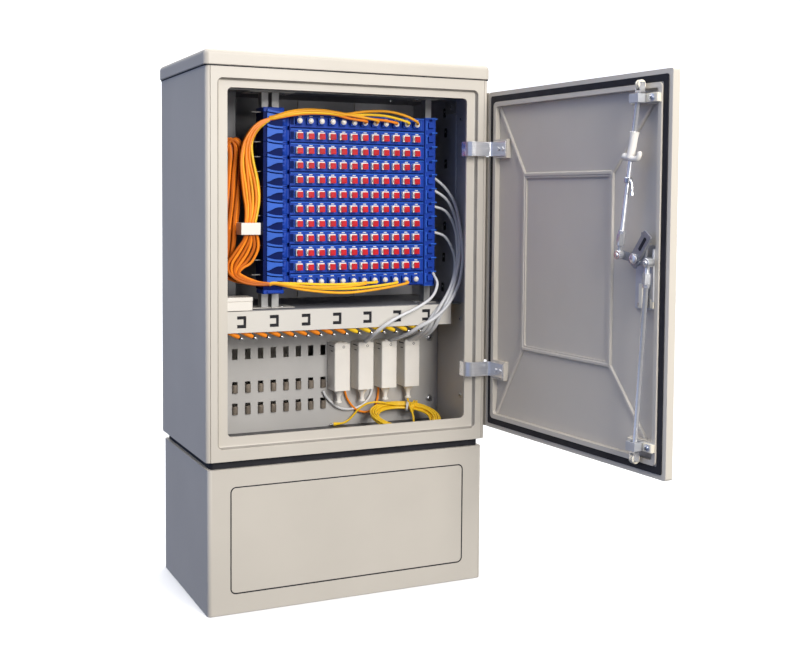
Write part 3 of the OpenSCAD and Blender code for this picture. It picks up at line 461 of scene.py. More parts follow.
spout = Vector((192.5, 12, 329))
lead = [spout, (192.4, 11.4, 325.6), (191.8, 8.2, 322.0), (190.2, 2, 318.6), (187, -12, 312.2), (182, -34, 302.5),
        (172, -58, 296), (167.5, -71, 292.5), (169.8, -81.5, 290)]
turns = [coil_point(TURNS * k / 300) for k in range(301)]
tail = [on_coil(-12, 55.5, 5.2), on_coil(-28, 55, 9.6), (118, 13, 324.5), (102, 17, 321), (88, 20.5, 311.5),
        (78, 23, 300), (68, 25, 290), (57, 26, 285), (45, 26, 284.2)]
coil_path = smooth(lead + turns[:2], 6)[:-1] + turns[1:-1] + smooth([turns[-2], turns[-1]] + tail, 6)[6:]
bm = bmesh.new()
add_tube(bm, coil_path, CORD_R, 10)
coil = fixed("yellow_coil_fibre", bm, YELLOW, stands_for=["yellow_coil"])

heading = (coil_path[-1] - coil_path[-4]).normalized()
bm = bmesh.new()
add_lathe(bm, [(-5, 2.2), (-4, 2.7), (3, 3.1), (5, 3.4), (9, 3.4), (9.6, 2.9)], coil_path[-1], heading, 14)
coil_boot = fixed("yellow_coil_boot", bm, YELLOW, stands_for=["yellow_coil"])
bm = bmesh.new()
add_lathe(bm, [(9.2, 2.2), (9.6, 2.5), (13, 2.5), (13.6, 1.4), (17, 1.3), (17.5, 0.8)], coil_path[-1], heading, 14)
coil_tip = fixed("yellow_coil_tip", bm, STEEL, stands_for=["yellow_coil"])


def add_tie(bm, degrees, grow, r):
    a = math.radians(degrees)
    loop = rounded(47.2 - grow, 73.4 + grow, -5.6 - grow, 6.0 + grow, 4.5, 4)
    path = [on_coil(p * math.cos(a), p * math.sin(a), q) for p, q in loop + loop[:1]]
    add_tube(bm, path, r, 8)


bm = bmesh.new()
add_tie(bm, 63, 1.3, 1.3)
add_tie(bm, 60.5, 1.3, 1.3)
coil_tie = fixed("yellow_coil_tie", bm, CABLE_GREY, stands_for=["yellow_coil"])
bm = bmesh.new()
add_tie(bm, 51.5, 1.8, 1.8)
add_tie(bm, 47.6, 1.8, 1.8)
coil_wraps = fixed("yellow_coil_wraps", bm, YELLOW, stands_for=["yellow_coil"])

# Grey cables from the right of the trays to the boxes; both ends are fixed

GREY_RUNS = (
    ((211, -47, 595), (211, -62, 583), (211, -78, 565), (194, -88, 541), (160, -93, 522), (115, -93, 503),
     (90, -86, 486), (80, -68, 471), (82, -42, 460), (88, -18, 454.5), (91.5, -3, 448)),
    ((215, -47, 774), (237, -58, 753), (253, -70, 720), (261, -78, 671), (263.5, -84, 622), (259, -88, 593),
     (249, -92, 561), (225, -94, 524), (196, -92, 499), (172, -82, 484), (158, -64, 470), (150, -40, 460),
     (146, -18, 454.5), (145, -3, 448)),
    ((216, -47, 749), (241, -58, 729), (256, -68, 690), (261, -75, 641), (257, -80, 608), (251, -84, 589),
     (237, -88, 550), (213, -88, 505), (207, -76, 482), (204, -50, 464), (201, -20, 455), (200, -3, 448)),
    ((216, -47, 717), (241, -55, 706), (257, -62, 674), (259, -70, 631), (253, -76, 596), (235, -82, 553),
     (206, -82, 507), (199, -72, 482), (196, -48, 465), (193, -20, 455), (192.5, -3, 448)),
    ((216, -47, 666), (238, -53, 658), (252, -58, 636), (257, -64, 607), (247, -70, 564), (222, -77, 528),
     (200, -77, 502), (190, -68, 480), (187, -46, 464), (186, -20, 455), (186, -3, 448)),
)
GREY_LOOP = ((14, 27, 352), (22, 26, 338), (44, 25, 318), (72, 25, 312), (100, 25, 320), (116, 26, 338), (120, 27, 352))
ORANGE_LOOP = ((60, 27, 352), (66, 26, 332), (82, 24, 312), (104, 23, 304), (124, 24, 312), (132, 26, 332),
               (134, 27, 352))
bm = bmesh.new()
for run in GREY_RUNS:
    path = smooth(run, 6)
    add_tube(bm, path, [2.8 + 1.3 * min(1.0, max(0.0, 3 * i / len(path) - 1.2)) for i in range(len(path))], 12)
add_tube(bm, smooth(GREY_LOOP, 6), 2.4, 8)
fixed("grey_cable_runs", bm, CABLE_GREY, stands_for=["grey_cables"])
bm = bmesh.new()
add_tube(bm, smooth(ORANGE_LOOP, 6), 2.2, 8)
fixed("fibre_loops_behind_boxes", bm, ORANGE, stands_for=["grey_cables"])

# Orange bundle between the first and the last guide, held by the white clip

FRONT = ((-134, 874), (-150, 869), (-167, 855), (-181, 829), (-187, 800), (-187, 771), (-182, 737), (-177, 711),
         (-178, 686), (-178, 663), (-186, 650), (-199, 632), (-211, 614), (-212, 603), (-201, 589), (-176, 577),
         (-150, 573), (-134, 573))
INNER = ((-134, 872), (-148, 862), (-162, 846), (-168, 822), (-165, 795), (-157, 763), (-153, 735), (-155, 711),
         (-161, 687), (-160, 663), (-154, 649), (-158, 631), (-167, 615), (-182, 606), (-192, 600), (-188, 591),
         (-170, 582), (-148, 576), (-134, 575))
HANK = ((-214, 800), (-210, 822), (-202, 834), (-192, 836), (-183, 826), (-181, 804), (-184, 774), (-187, 742),
        (-190, 712), (-193, 684), (-196, 652), (-199, 622), (-196, 600), (-184, 586), (-164, 577), (-148, 574),
        (-134, 573))
CLIP_Z = 675.0
dice = random.Random(4)


def even_steps(route, n=24):
    """Points of a route at n + 1 even steps of its length."""
    fine = smooth([(x, 0, z) for x, z in route], 8)
    reach = [0.0]
    for a, b in zip(fine, fine[1:]):
        reach.append(reach[-1] + (b - a).length)
    out, k = [], 0
    for i in range(n + 1):
        want = reach[-1] * i / n
        while k < len(fine) - 2 and reach[k + 1] < want:
            k += 1
        out.append(fine[k].lerp(fine[k + 1], min(1.0, (want - reach[k]) / max(reach[k + 1] - reach[k], 1e-6))))
    return out


def add_strand(upper, lower, routes, share, depth, r, shift=0.0, start=-79.0):
    """One fibre of the bundle, between two routes: it starts and ends at the guides, wanders a little on its way,
    and its part below the clip may be drawn in a darker copy of the jacket, as painted shade."""
    first, second = (even_steps(route) for route in routes)
    phase, n = dice.uniform(0, 6.28), len(first) - 1
    points = []
    for i, (a, b) in enumerate(zip(first, second)):
        f = min(1.0, 2.4 * math.sin(math.pi * i / n))
        here = a.lerp(b, share)
        points.append((here.x + f * (shift + 0.9 * math.sin(0.8 * i + phase)), start + f * (depth - start),
                       here.z + f * 1.2 * math.cos(0.7 * i + phase)))
    path = smooth(points, 4)
    middle = next(i for i, p in enumerate(path) if i > 20 and p.z < CLIP_Z)
    add_tube(bundle[upper.name], path[:middle + 1], r, 10)
    add_tube(bundle[lower.name], path[middle:], r, 10)


bundle = {m.name: bmesh.new() for m in (ORANGE, SHADED_ORANGE, AMBER_AND_HIGHLIGHT, YELLOW)}
# Strands alternate lighter and darker copies of the orange jacket as painted highlight and shade; the deeper layer, the
# hank and the parts below the clip take the darker copy as painted shade
for k in range(5):
    upper, lower = ((ORANGE, SHADED_ORANGE), (AMBER_AND_HIGHLIGHT, ORANGE))[k % 2]
    add_strand(upper, lower, (FRONT, INNER), 0.19 * k, -79 + 2.4 * (k % 2), 2.55)
for k in range(5):
    add_strand(SHADED_ORANGE, SHADED_ORANGE, (FRONT, INNER), 0.1 + 0.19 * k, -70 + 0.8 * (k % 2), 2.6)
for k, (upper, lower) in enumerate(((YELLOW, ORANGE), (AMBER_AND_HIGHLIGHT, SHADED_ORANGE), (SHADED_ORANGE, SHADED_ORANGE))):
    add_strand(upper, lower, (FRONT, INNER), 1.0, -75 + 6.5 * k, 2.5, 1.0 + 2.2 * k)
for k in range(9):
    tone = (SHADED_ORANGE, ORANGE, SHADED_ORANGE)[k % 3]
    add_strand(tone, SHADED_ORANGE, (HANK, HANK), 0.0, -60 + 3.4 * (k % 3), 2.5, -22 + 3.4 * k, -70)
for k in range(4):
    add_strand(SHADED_ORANGE, SHADED_ORANGE, (HANK, HANK), 0.0, -48 + 3.0 * (k % 2), 2.8, -16 + 6.0 * k, -62)
for mat in (ORANGE, SHADED_ORANGE, AMBER_AND_HIGHLIGHT, YELLOW):
    slot = "yellow_jacket" if mat is YELLOW else "orange_jacket"
    fixed("patch_bundle_" + mat.name, bundle[mat.name], mat, stands_for=["patch_fibres"])

# Fibres over the first tray and under the last one

TOP = (((-124, 877), (-97, 885), (-69, 889), (-34, 890), (4, 889), (33, 885), (63, 881), (94, 879), (120, 875),
        (124, 873.5)),
       ((-124, 879), (-97, 888), (-66, 893), (-30, 893), (0, 890), (18, 888), (47, 893), (87, 896), (117, 894),
        (145, 887), (164, 878), (168, 874)),
       ((-124, 875), (-97, 881), (-72, 885), (-40, 887), (-8, 886), (22, 880), (56, 876), (58, 873.5)),
       ((-124, 876), (-98, 883), (-60, 888), (-20, 888), (20, 886), (60, 888), (96, 887), (128, 881), (145, 876),
        (147, 873.5)),
       ((-124, 878), (-96, 886), (-62, 891), (-26, 891), (12, 887), (46, 883), (78, 878), (81, 873.5)))
LOW = (((-124, 575), (-68, 573), (-40, 571), (-10, 570), (20, 570), (50, 571), (80, 572), (82, 574)),
       ((-124, 574), (-95, 568), (-68, 562), (-21, 556), (20, 554), (65, 557), (111, 563), (145, 569), (147, 572)),
       ((-124, 576), (-92, 571), (-52, 565), (-8, 562), (36, 562), (80, 565), (120, 570), (125, 572)),
       ((-124, 575), (-92, 570), (-60, 567), (-20, 565), (20, 566), (55, 570), (59, 573)))
TRAY_FIBRES = (
    ("top_fibres", TOP, (ORANGE, AMBER_AND_HIGHLIGHT, ORANGE, YELLOW, AMBER_AND_HIGHLIGHT), "tray_01", "top_tray_fibres", "orange_jacket"),
    ("bottom_fibres", LOW, (YELLOW, AMBER_AND_HIGHLIGHT, YELLOW, AMBER_AND_HIGHLIGHT), "tray_12", "bottom_tray_fibres", "yellow_jacket"),
)
for name, runs, mats, tray, node, slot in TRAY_FIBRES:
    for k, run in enumerate(runs):
        depth = -78.5 - 1.1 * k
        points = [(x, depth + (6.0 if i > len(run) - 2 else 0.0), z) for i, (x, z) in enumerate(run)]
        bm = bmesh.new()
        add_tube(bm, smooth([(-134, -79, points[0][2] - 2)] + points, 6), 2.5, 9)
        obj = piece("%s_%d" % (name, k + 1), bm, mats[k], None, stands_for=[node])
        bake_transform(obj)

# Shell

for node, width in (("front_frame", 1.6), ("left_side_panel", 1.8), ("right_side_panel", 1.8), ("rear_panel", 1.2),
                    ("roof_cap", 1.6), ("plinth_shell", 2.5), ("plinth_cover", 1.5), ("door_panel", 1.4)):
    dress(node, BODY, width, 3)
dress("neck_seal", RUBBER_AND_SHADE, 0.8)
dress("door_seal", RUBBER_AND_SHADE, 0.5)
dress("floor_plate", FLOOR_SHEET, 0.5)
dress("equipment_frame", POST, 0.5)
dress("cable_shelf", PALE, 0.5)
dress("slotted_plate", GREY, 0.4)
dress("fibre_guides", BLUE, 0.5)
dress("tray_latch_bar", BLUE, 0.6)
for i in range(ROWS):
    dress("tray_%02d" % (i + 1), BLUE, 0.4)
dress("hinge_brackets", RUBBER_AND_SHADE, 0.4)
for node in ("hinge_straps", "lock_handle", "upper_rod", "lower_rod"):
    dress(node, STEEL, 0.4)
dress("lock_brackets", CAST, 0.4)
dress("lock_cam", LEVER, 0.4)

# Black strip painted as the shadow in the gap under the roof, and soft slope round the door recess with painted shade
# in its crease

roof_low = span("roof_cap")[0]
body_low, body_high = span("left_side_panel")[0], span("right_side_panel")[1]
front = span("front_frame")[0].y


def add_band(bm, outer, inner):
    """Ring between two closed outlines of equal length, each a list of points."""
    join(bm, *([bm.verts.new(q) for q in ring] for ring in (outer, inner)))


# Black strip under the roof's edge, painted as the shadow in the gap
bm = bmesh.new()
gap = [[(x, y, roof_low.z + rise)
        for x, y in rounded(body_low.x - g, body_high.x + g, front - g, body_high.y + g, 3.5, 4)]
       for rise, g in ((-2.2, -0.4), (-1.8, 0.35), (0.2, 0.35))]
add_band(bm, gap[0], gap[1])
add_band(bm, gap[1], gap[2])
fixed("roof_gap_painted_shadow", bm, RUBBER_AND_SHADE)

RECESS_X, RECESS_LOW, RECESS_TOP = 254, 293, 936
bm = bmesh.new()
steps = [[(x, front + d, z)
          for x, z in rounded(-RECESS_X - g, RECESS_X + g, RECESS_LOW - g, RECESS_TOP + g, 7 + g, 8)]
         for g, d in ((0.3, 0.9), (-0.3, 2.0), (-1.5, 5.2), (-3.4, 7.5), (-5.0, 7.9))]
# The two middle bands of the slope, in the darker copy of the body colour, are painted shade in the crease
crease = bmesh.new()
for k, (a, b) in enumerate(zip(steps, steps[1:])):
    add_band(crease if k in (1, 2) else bm, a, b)
fixed("recess_slope", bm, BODY)
fixed("recess_painted_shade", crease, CREASE_SHADE)

# Black ring round the plinth's cover, painted as the shade in the groove between cover and shell

low, high = span("plinth_cover")
bm = bmesh.new()
rings = [[bm.verts.new((x, low.y + d, z)) for x, z in rounded(low.x - g, high.x + g, low.z - g, high.z + g, 9 + g, 8)]
         for g, d in ((1.5, -0.15), (-0.7, -0.15), (-0.7, 3.0), (1.5, 3.0))]
for a, b in zip(rings, rings[1:] + rings[:1]):
    join(bm, a, b)
fixed("plinth_groove_painted_shade", bm, RUBBER_AND_SHADE)

# Strip behind the door's hinge edge, left out where the straps pass

bm = bmesh.new()
for z0, z1 in ((296, 395.6), (423.4, 811.6), (839.4, 933)):
    add_prism(bm, [(277.5, -155), (279.6, -154.4), (280.2, -148), (279.6, -141.6), (277.5, -141)], "z", z0, z1)
fixed("hinge_side_strip", bm, BODY)

# Lining of the upper compartment: back sheets, ceiling, mat on the shelf, left upright, right wall with its slots

IN_X, BACK_Y, SHELF, CEILING = 270.0, 151.8, 525.0, 930.0

bm = bmesh.new()
for x0, x1 in ((-268, -133), (-69, 3), (5, 129), (131, 268)):
    fold = [(x0, BACK_Y), (x0, 149.6), (x0 + 2, 148.4), (x1 - 2, 148.4), (x1, 149.6), (x1, BACK_Y)]
    add_prism(bm, fold, "z", SHELF + 2, CEILING)
fixed("back_lining", bm, LINER)

# The dark sheet between x -133 and -69 in front of the back lining is painted shade of the bundle and the posts; the
# ceiling and the left wall sheet share its dark colour
bm = bmesh.new()
fold = [(-133, BACK_Y), (-133, 138), (-130, 136), (-72, 136), (-69, 138), (-69, BACK_Y)]
add_prism(bm, fold, "z", SHELF + 2, CEILING)
add_block(bm, (-269.5, -139, CEILING + 0.2), (269.5, BACK_Y, CEILING + 1.6))
add_block(bm, (-269.8, -120, SHELF + 2), (-268.9, BACK_Y, CEILING))
fixed("lining_with_painted_shade", bm, DARK_AND_SHADE, 0.4)

bm = bmesh.new()
add_block(bm, (-268.5, -70, SHELF + 0.1), (268.5, BACK_Y, SHELF + 1.2))
fixed("shelf_mat", bm, DARK_AND_SHADE, 0.3)

bm = bmesh.new()
channel = [(-196, 34), (-196, 20), (-194, 18), (-168, 18), (-166, 20), (-166, 34), (-168, 34), (-168, 20.6),
           (-194, 20.6), (-194, 34)]
add_prism(bm, channel, "z", SHELF + 1, CEILING + 0.4)
fixed("left_upright", bm, UPRIGHT, 0.4)

WALL_SLOTS = ((7, 905), (2, 865), (1, 802), (3, 677), (6, 613), (9, 552))
bm = bmesh.new()
add_block(bm, (268.6, -124, SHELF + 2), (269.8, BACK_Y, CEILING))
add_block(bm, (266.0, -86, SHELF + 4), (268.8, -82, 916))
for y in (-40, 60):
    add_prism(bm, [(268.7, y - 5), (266.9, y - 3.6), (266.9, y + 3.6), (268.7, y + 5)], "z", SHELF + 8, 896)
fixed("right_lining", bm, LINER, 0.3)
bm = bmesh.new()
for y, z in WALL_SLOTS:
    add_prism(bm, rounded(y - 5, y + 5, z - 9, z + 9, 1.5, 3), "x", 268.0, 268.9)
fixed("wall_slots", bm, RUBBER_AND_SHADE)
bm = bmesh.new()
for y, z in WALL_SLOTS:
    add_lathe(bm, [(0, 2.2), (0.6, 2.2), (1.2, 1.4), (1.4, 0.5)], (268.0, y - 1, z + 2), (-1, 0, 0), 12)
fixed("wall_slot_rivets", bm, ZINC)

# Trays

FACE_Y, HOUSING_Y = -60.0, -68.4
TRAY_X0, TRAY_X1 = -86.5, 187.5
PLUG = [(0, 4.9), (0.8, 5.1), (2.8, 5.1), (3.2, 4.2), (5.2, 3.6), (5.8, 2.4)]
ADAPTERS, ADAPTER_X0, ADAPTER_STEP = 12, -72, 21.9
ADAPTER_X = [ADAPTER_X0 + ADAPTER_STEP * k for k in range(ADAPTERS)]
ADAPTER_LEFT = [5.6] + [7.0] * (ADAPTERS - 1)  # the first one stays clear of the guides when the tray swings out


def add_ring(bm, x0, x1, z0, z1, y0, y1, w):
    """Rectangular frame of width w that stands across y."""
    outer = [(x0, z0), (x1, z0), (x1, z1), (x0, z1)]
    inner = [(x0 + w, z0 + w), (x1 - w, z0 + w), (x1 - w, z1 - w), (x0 + w, z1 - w)]
    places = ((outer, y0), (inner, y0), (inner, y1), (outer, y1))
    a, b, c, d = ([bm.verts.new((x, y, z)) for x, z in ring] for ring, y in places)
    for p, q in ((a, b), (b, c), (c, d), (d, a)):
        join(bm, p, q)


for i in range(ROWS):
    tray, adapters = "tray_%02d" % (i + 1), "adapters_%02d" % (i + 1)
    z, ends = ROW_Z[i], i in (0, ROWS - 1)
    bm = bmesh.new()
    ridge = [(FACE_Y, z + 9.9), (FACE_Y - 1.6, z + 10.6), (FACE_Y - 1.6, z + 12.6), (FACE_Y - 0.6, z + 13.0),
             (FACE_Y, z + 13.0)]
    add_prism(bm, ridge, "x", TRAY_X0, TRAY_X1)
    for x in ADAPTER_X:
        add_ring(bm, x - 8.3, x + 8.3, z - 7.7, z + 7.4, FACE_Y - 1.4, FACE_Y, 1.1)
    add_block(bm, (180.5, FACE_Y - 1.2, z - 9), (182.0, FACE_Y, z + 9))
    piece(tray + "_ribs", bm, LIGHT_BLUE, tray, 0.3)
    # Painted shade: a dark patch for the recess left of the first adapter, and a dark strip along the tray's lower edge
    # for the gap between rows
    bm = bmesh.new()
    add_prism(bm, rounded(-87.2, -79.6, z - 7.0, z + 7.0, 1.0, 3), "y", FACE_Y - 0.6, FACE_Y)
    groove = [(FACE_Y, z - 13.2), (FACE_Y - 0.5, z - 13.2), (FACE_Y - 0.5, z - 11.6), (FACE_Y, z - 11.3)]
    add_prism(bm, groove, "x", TRAY_X0, TRAY_X1)
    piece(tray + "_painted_shade_marks", bm, DEEP_BLUE_AND_SHADE, tray)
    bm = bmesh.new()
    for x in ADAPTER_X:
        tab = [(FACE_Y, z + 7.9), (FACE_Y - 1.0, z + 8.1), (FACE_Y - 1.2, z + 9.6), (FACE_Y, z + 9.9)]
        add_prism(bm, tab, "x", x + 0.4, x + 6.6)
    piece(tray + "_tabs", bm, WHITE, tray)
    bm = bmesh.new()
    for x, left in zip(ADAPTER_X, ADAPTER_LEFT):
        add_prism(bm, rounded(x - left, x + 7.0, z - 6.5, z + 6.4, 0.9, 2), "y", HOUSING_Y, FACE_Y)
    finish = BLUE if ends else WHITE
    piece(adapters + "_housings", bm, finish, tray, 0.35, stands_for=[adapters])
    bm = bmesh.new()
    if not ends:
        for x in ADAPTER_X:
            add_prism(bm, rounded(x - 4.2, x + 6.9, z - 6.4, z + 4.4, 1.1, 3), "y", HOUSING_Y - 2.2, HOUSING_Y)
            add_prism(bm, rounded(x - 2.4, x + 5.2, z - 4.8, z + 2.6, 0.9, 2), "y", HOUSING_Y - 2.8, HOUSING_Y - 2.1)
        piece(adapters + "_caps", bm, RED, tray, 0.4, stands_for=[adapters])
    else:
        drop = 0.0 if i == 0 else -0.55
        for x in ADAPTER_X:
            add_lathe(bm, PLUG, (x, HOUSING_Y + 0.4, z), (0.05, -1, drop), 16)
        piece(adapters + "_plugs", bm, WHITE, tray, stands_for=[adapters])
    bm = bmesh.new()
    for x, left in zip(ADAPTER_X, ADAPTER_LEFT):
        slit = rounded(x - left + 1.0, x - left + 1.9, z - 3.6, z + 1.8, 0.3, 2)
        add_prism(bm, slit, "y", HOUSING_Y - 0.3, HOUSING_Y + 0.2)
    piece(adapters + "_slits", bm, RUBBER_AND_SHADE, tray)

# Guides: a dark bar, and a curved band and a funnel for each row

BAND = ((-138, 19.2), (-130, 16.8), (-122, 15.3), (-113, 14.6), (-108, 14.5),
        (-108, 11.0), (-113, 11.1), (-122, 11.7), (-130, 12.7), (-138, 14.0))
FUNNEL = ((-138, 12.3), (-130, 10.5), (-122, 9.4), (-113, 8.8), (-108, 8.7),
          (-108, 2.2), (-113, 2.2), (-119, 1.6), (-126, -0.9), (-132, -4.0), (-138, -5.8))
GUIDE_X, GUIDE_Y = -108, -74.8
GUIDE_PIN = [(0, 1.5), (1.5, 1.5), (2.0, 0.9), (15, 0.9), (15.8, 1.4), (16.6, 0.8)]


def soft_outline(points, z):
    """Outline with its long sides drawn as smooth curves, for a shape whose first half runs to the right."""
    half = [x for x, y in points].index(GUIDE_X) + 1
    run = []
    for part in (points[:half], points[half:]):
        run += [(p.x, p.y + z) for p in smooth([(x, y, 0) for x, y in part], 4)]
    return run


bm, dark = bmesh.new(), bmesh.new()
for z in ROW_Z:
    add_prism(bm, soft_outline(BAND, z), "y", GUIDE_Y - 4.2, GUIDE_Y)
    add_prism(bm, soft_outline(FUNNEL, z), "y", GUIDE_Y - 3.4, GUIDE_Y)
    add_prism(dark, rounded(-137.6, -107.5, z - 13.4, z + 13.4, 0.6, 2), "y", GUIDE_Y - 0.9, GUIDE_Y)
    add_block(dark, (-144.6, -75.6, z - 13.0), (-137.4, -33.8, z + 13.0))
fixed("guide_bands", bm, LIGHT_BLUE, 0.6)
fixed("guide_bar", dark, DEEP_BLUE_AND_SHADE, 0.3)
bm = bmesh.new()
for z0, z1 in ((ROW_Z[0] + 13.7, ROW_Z[0] + 22), (ROW_Z[-1] - 21, ROW_Z[-1] - 13.7)):
    add_prism(bm, rounded(-144.4, -104, -75.2, -34.2, 2.0, 3), "z", z0, z1)
    add_prism(bm, rounded(-137, -110, -78.4, -74.8, 1.4, 3), "z", z0 + 1.5, z1 - 1.5)
fixed("guide_ends", bm, BLUE, 0.8)
bm = bmesh.new()
for z in ROW_Z:
    add_lathe(bm, GUIDE_PIN, (-144.4, -58, z + 13.5), (-1, 0, 0), 10)
fixed("guide_pins", bm, POST)

# Latch bar at the right of the trays

bm, dark = bmesh.new(), bmesh.new()
for z0, z1 in ((ROW_Z[-1] - 15.2, ROW_Z[-1] - 13.6), (ROW_Z[0] + 13.6, ROW_Z[0] + 15.2)):
    add_prism(bm, rounded(190.2, 213.9, FACE_Y - 1.4, -33.8, 1.6, 3), "z", z0, z1)
for z in ROW_Z:
    rib = [(FACE_Y, z - 9.5), (FACE_Y - 1.6, z - 8.5), (FACE_Y - 1.6, z + 8.5), (FACE_Y, z + 9.5)]
    add_prism(bm, rib, "x", 192.5, 195.5)
    add_prism(bm, rounded(204.0, 216.4, z + 11.6, z + 14.2, 0.9, 3), "y", -62.6, -57.0)
    add_block(dark, (200.0, -60.7, z + 8.0), (206.0, -59.9, z + 12.0))
fixed("latch_ribs", bm, LIGHT_BLUE, 0.35)
fixed("latch_slots", dark, DEEP_BLUE_AND_SHADE, 0.2)

# Dark strip behind the cut-outs of the shelf's rail

bm = bmesh.new()
add_prism(bm, rounded(-236, 240, 490.5, 522, 2, 3), "y", -71.9, -70.4)
fixed("rail_backing", bm, RUBBER_AND_SHADE)

# Lower plate: metal tabs in the two lower rows of slots

bm = bmesh.new()
TAB_X = [-165 + 25.8 * k for k in range(8)]
for z in (368.9, 327.4):
    for x in TAB_X:
        tab = [(x - 5.0, 32.2), (x - 5.0, 28.2), (x - 3.8, 27.2), (x + 3.8, 27.2), (x + 5.0, 28.2), (x + 5.0, 32.2)]
        add_prism(bm, tab, "z", z - 10.9, z + 5.2)
        add_block(bm, (x - 2.6, 26.4, z - 8.0), (x + 2.6, 27.4, z + 2.6))
fixed("slot_tabs", bm, BRONZE, 0.5)

# Four cable boxes with lids, side slits, a ring of dots and funnel spouts

BOX_X = [41 + 50.5 * k for k in range(4)]
BOX_TOP, BOX_LOW, DOTS = 449.0, 355.0, 14
FUNNEL_SPOUT = [(-1.5, 13.0), (0, 12.6), (2.5, 10.4), (7, 7.2), (13, 4.7), (15, 4.3), (21, 4.3), (22, 4.6), (23, 6.2),
                (25.4, 6.5), (26, 6.0)]
shells, marks = bmesh.new(), bmesh.new()
for x in BOX_X:
    add_prism(shells, rounded(x - 16.5, x + 16.5, -8, 31.8, 2.6, 4), "z", BOX_LOW, BOX_TOP - 12.6)
    add_prism(shells, rounded(x - 15.6, x + 15.6, -7.1, 31.6, 2.2, 4), "z", BOX_TOP - 13.0, BOX_TOP - 11.0)
    add_prism(shells, rounded(x - 16.5, x + 16.5, -8, 31.8, 2.6, 4), "z", BOX_TOP - 11.6, BOX_TOP - 0.8)
    add_prism(shells, rounded(x - 12.5, x + 12.5, -3.5, 27, 2.0, 4), "z", BOX_TOP - 1.0, BOX_TOP + 0.6)
    add_prism(shells, rounded(x - 4.5, x + 4.5, 4.5, 17, 1.6, 3), "z", BOX_TOP + 0.4, BOX_TOP + 1.8)
    add_lathe(shells, FUNNEL_SPOUT, (x, 12, BOX_LOW), (0, 0, -1), 20)
    for z, y0, y1 in ((BOX_TOP - 7.4, -2, 20), (BOX_TOP - 17.0, 2, 12)):
        add_prism(marks, rounded(y0, y1, z, z + 1.6, 0.5, 2), "x", x - 16.9, x - 16.3)
    for k in range(DOTS):
        a = 2 * math.pi * k / DOTS
        mx, mz = x + 2.5 + 2.1 * math.cos(a), BOX_TOP - 7.5 + 2.1 * math.sin(a)
        add_block(marks, (mx - 0.4, -8.35, mz - 0.4), (mx + 0.4, -7.8, mz + 0.4))
fixed("cable_box_shells", shells, WHITE, 0.8, stands_for=["cable_boxes"])
fixed("cable_box_marks", marks, RUBBER_AND_SHADE)

# Clip that holds the orange bundle

bm = bmesh.new()
hook = [(-190, -52), (-190, -88), (-153, -88), (-153, -60), (-144, -60), (-144, -52), (-157, -52), (-157, -84.4),
        (-186.4, -84.4), (-186.4, -52)]
add_prism(bm, hook, "z", CLIP_Z - 11, CLIP_Z + 11)
fixed("bundle_clip", bm, WHITE, 1.4, stands_for=["cable_clip"])

# Small box on the shelf

bm = bmesh.new()
add_prism(bm, rounded(-224, -163, -75, -33, 5, 5), "z", SHELF + 1.2, SHELF + 17.4)
add_prism(bm, rounded(-223, -164, -74, -34, 4.5, 5), "z", SHELF + 17.0, SHELF + 18.4)
add_prism(bm, rounded(-224.4, -162.6, -75.4, -32.6, 5.2, 5), "z", SHELF + 18.0, SHELF + 25.6)
fixed("storage_box_shell", bm, WHITE, 1.6, stands_for=["storage_box"])

# Screws

SCREW = ((0, 1.45), (0.5, 1.45), (0.7, 1.3), (0.75, 1), (1.6, 0.96), (2.2, 0.75), (2.6, 0.35))


def add_screw(heads, slots, place, axis, r):
    """Domed head of radius r on a washer, with a cross cut into it."""
    axis = Vector(axis)
    add_lathe(heads, [(h, r * k) for h, k in SCREW], place, axis, 18)
    side = axis.orthogonal().normalized()
    for s in (side, axis.cross(side)):
        t = axis.cross(s)
        top = Vector(place) + axis * 2.1
        corners = [top + s * a * r * 0.62 + t * b * r * 0.13 for a, b in ((-1, -1), (1, -1), (1, 1), (-1, 1))]
        ring = [slots.verts.new(c) for c in corners] + [slots.verts.new(c + axis * 0.62) for c in corners]
        for f in ((3, 2, 1, 0), (4, 5, 6, 7), (0, 1, 5, 4), (1, 2, 6, 5), (2, 3, 7, 6), (3, 0, 4, 7)):
            slots.faces.new([ring[k] for k in f])


heads, cuts = bmesh.new(), bmesh.new()
for z in (321, 446.6):
    add_screw(heads, cuts, (251, 32, z), (0, -1, 0), 5.0)
for y, z in ((-64, 888.5), (-66, 494), (-68, 341.9)):
    add_screw(heads, cuts, (268.6 if z > SHELF else IN_X, y, z), (-1, 0, 0), 3.6)
add_screw(heads, cuts, (267, -24, 914), (-1, 0, 0), 3.4)
for x in (-90, 190):
    add_screw(heads, cuts, (x, -24, SHELF + 1.2), (0, 0, 1), 3.2)
for x, y, z in ((-150, -24, 927), (-88, -24, 927), (190, -24, 927), (-168, 20, CEILING), (171, 60, CEILING),
                (194, 20, CEILING)):
    add_screw(heads, cuts, (x, y, z), (0, 0, -1), 3.2)
fixed("screw_heads", heads, ZINC, stands_for=["frame_screws"])
fixed("screw_cuts", cuts, RUBBER_AND_SHADE)
bm = bmesh.new()
for x0, x1 in ((-160, -118), (-117, -72), (196, 226)):
    add_prism(bm, [(x0, -44), (x1, -44), (x1, 8), (x0, 8)], "z", 925.4, 926.9)
    add_prism(bm, [(x0, -44), (x1, -44), (x1, 8), (x0, 8)], "z", SHELF + 1.2, SHELF + 2.4)
fixed("post_feet", bm, PALE, 0.3)

# Parked connector ends below the rail: a tapered boot, a dark collar and a bright tip

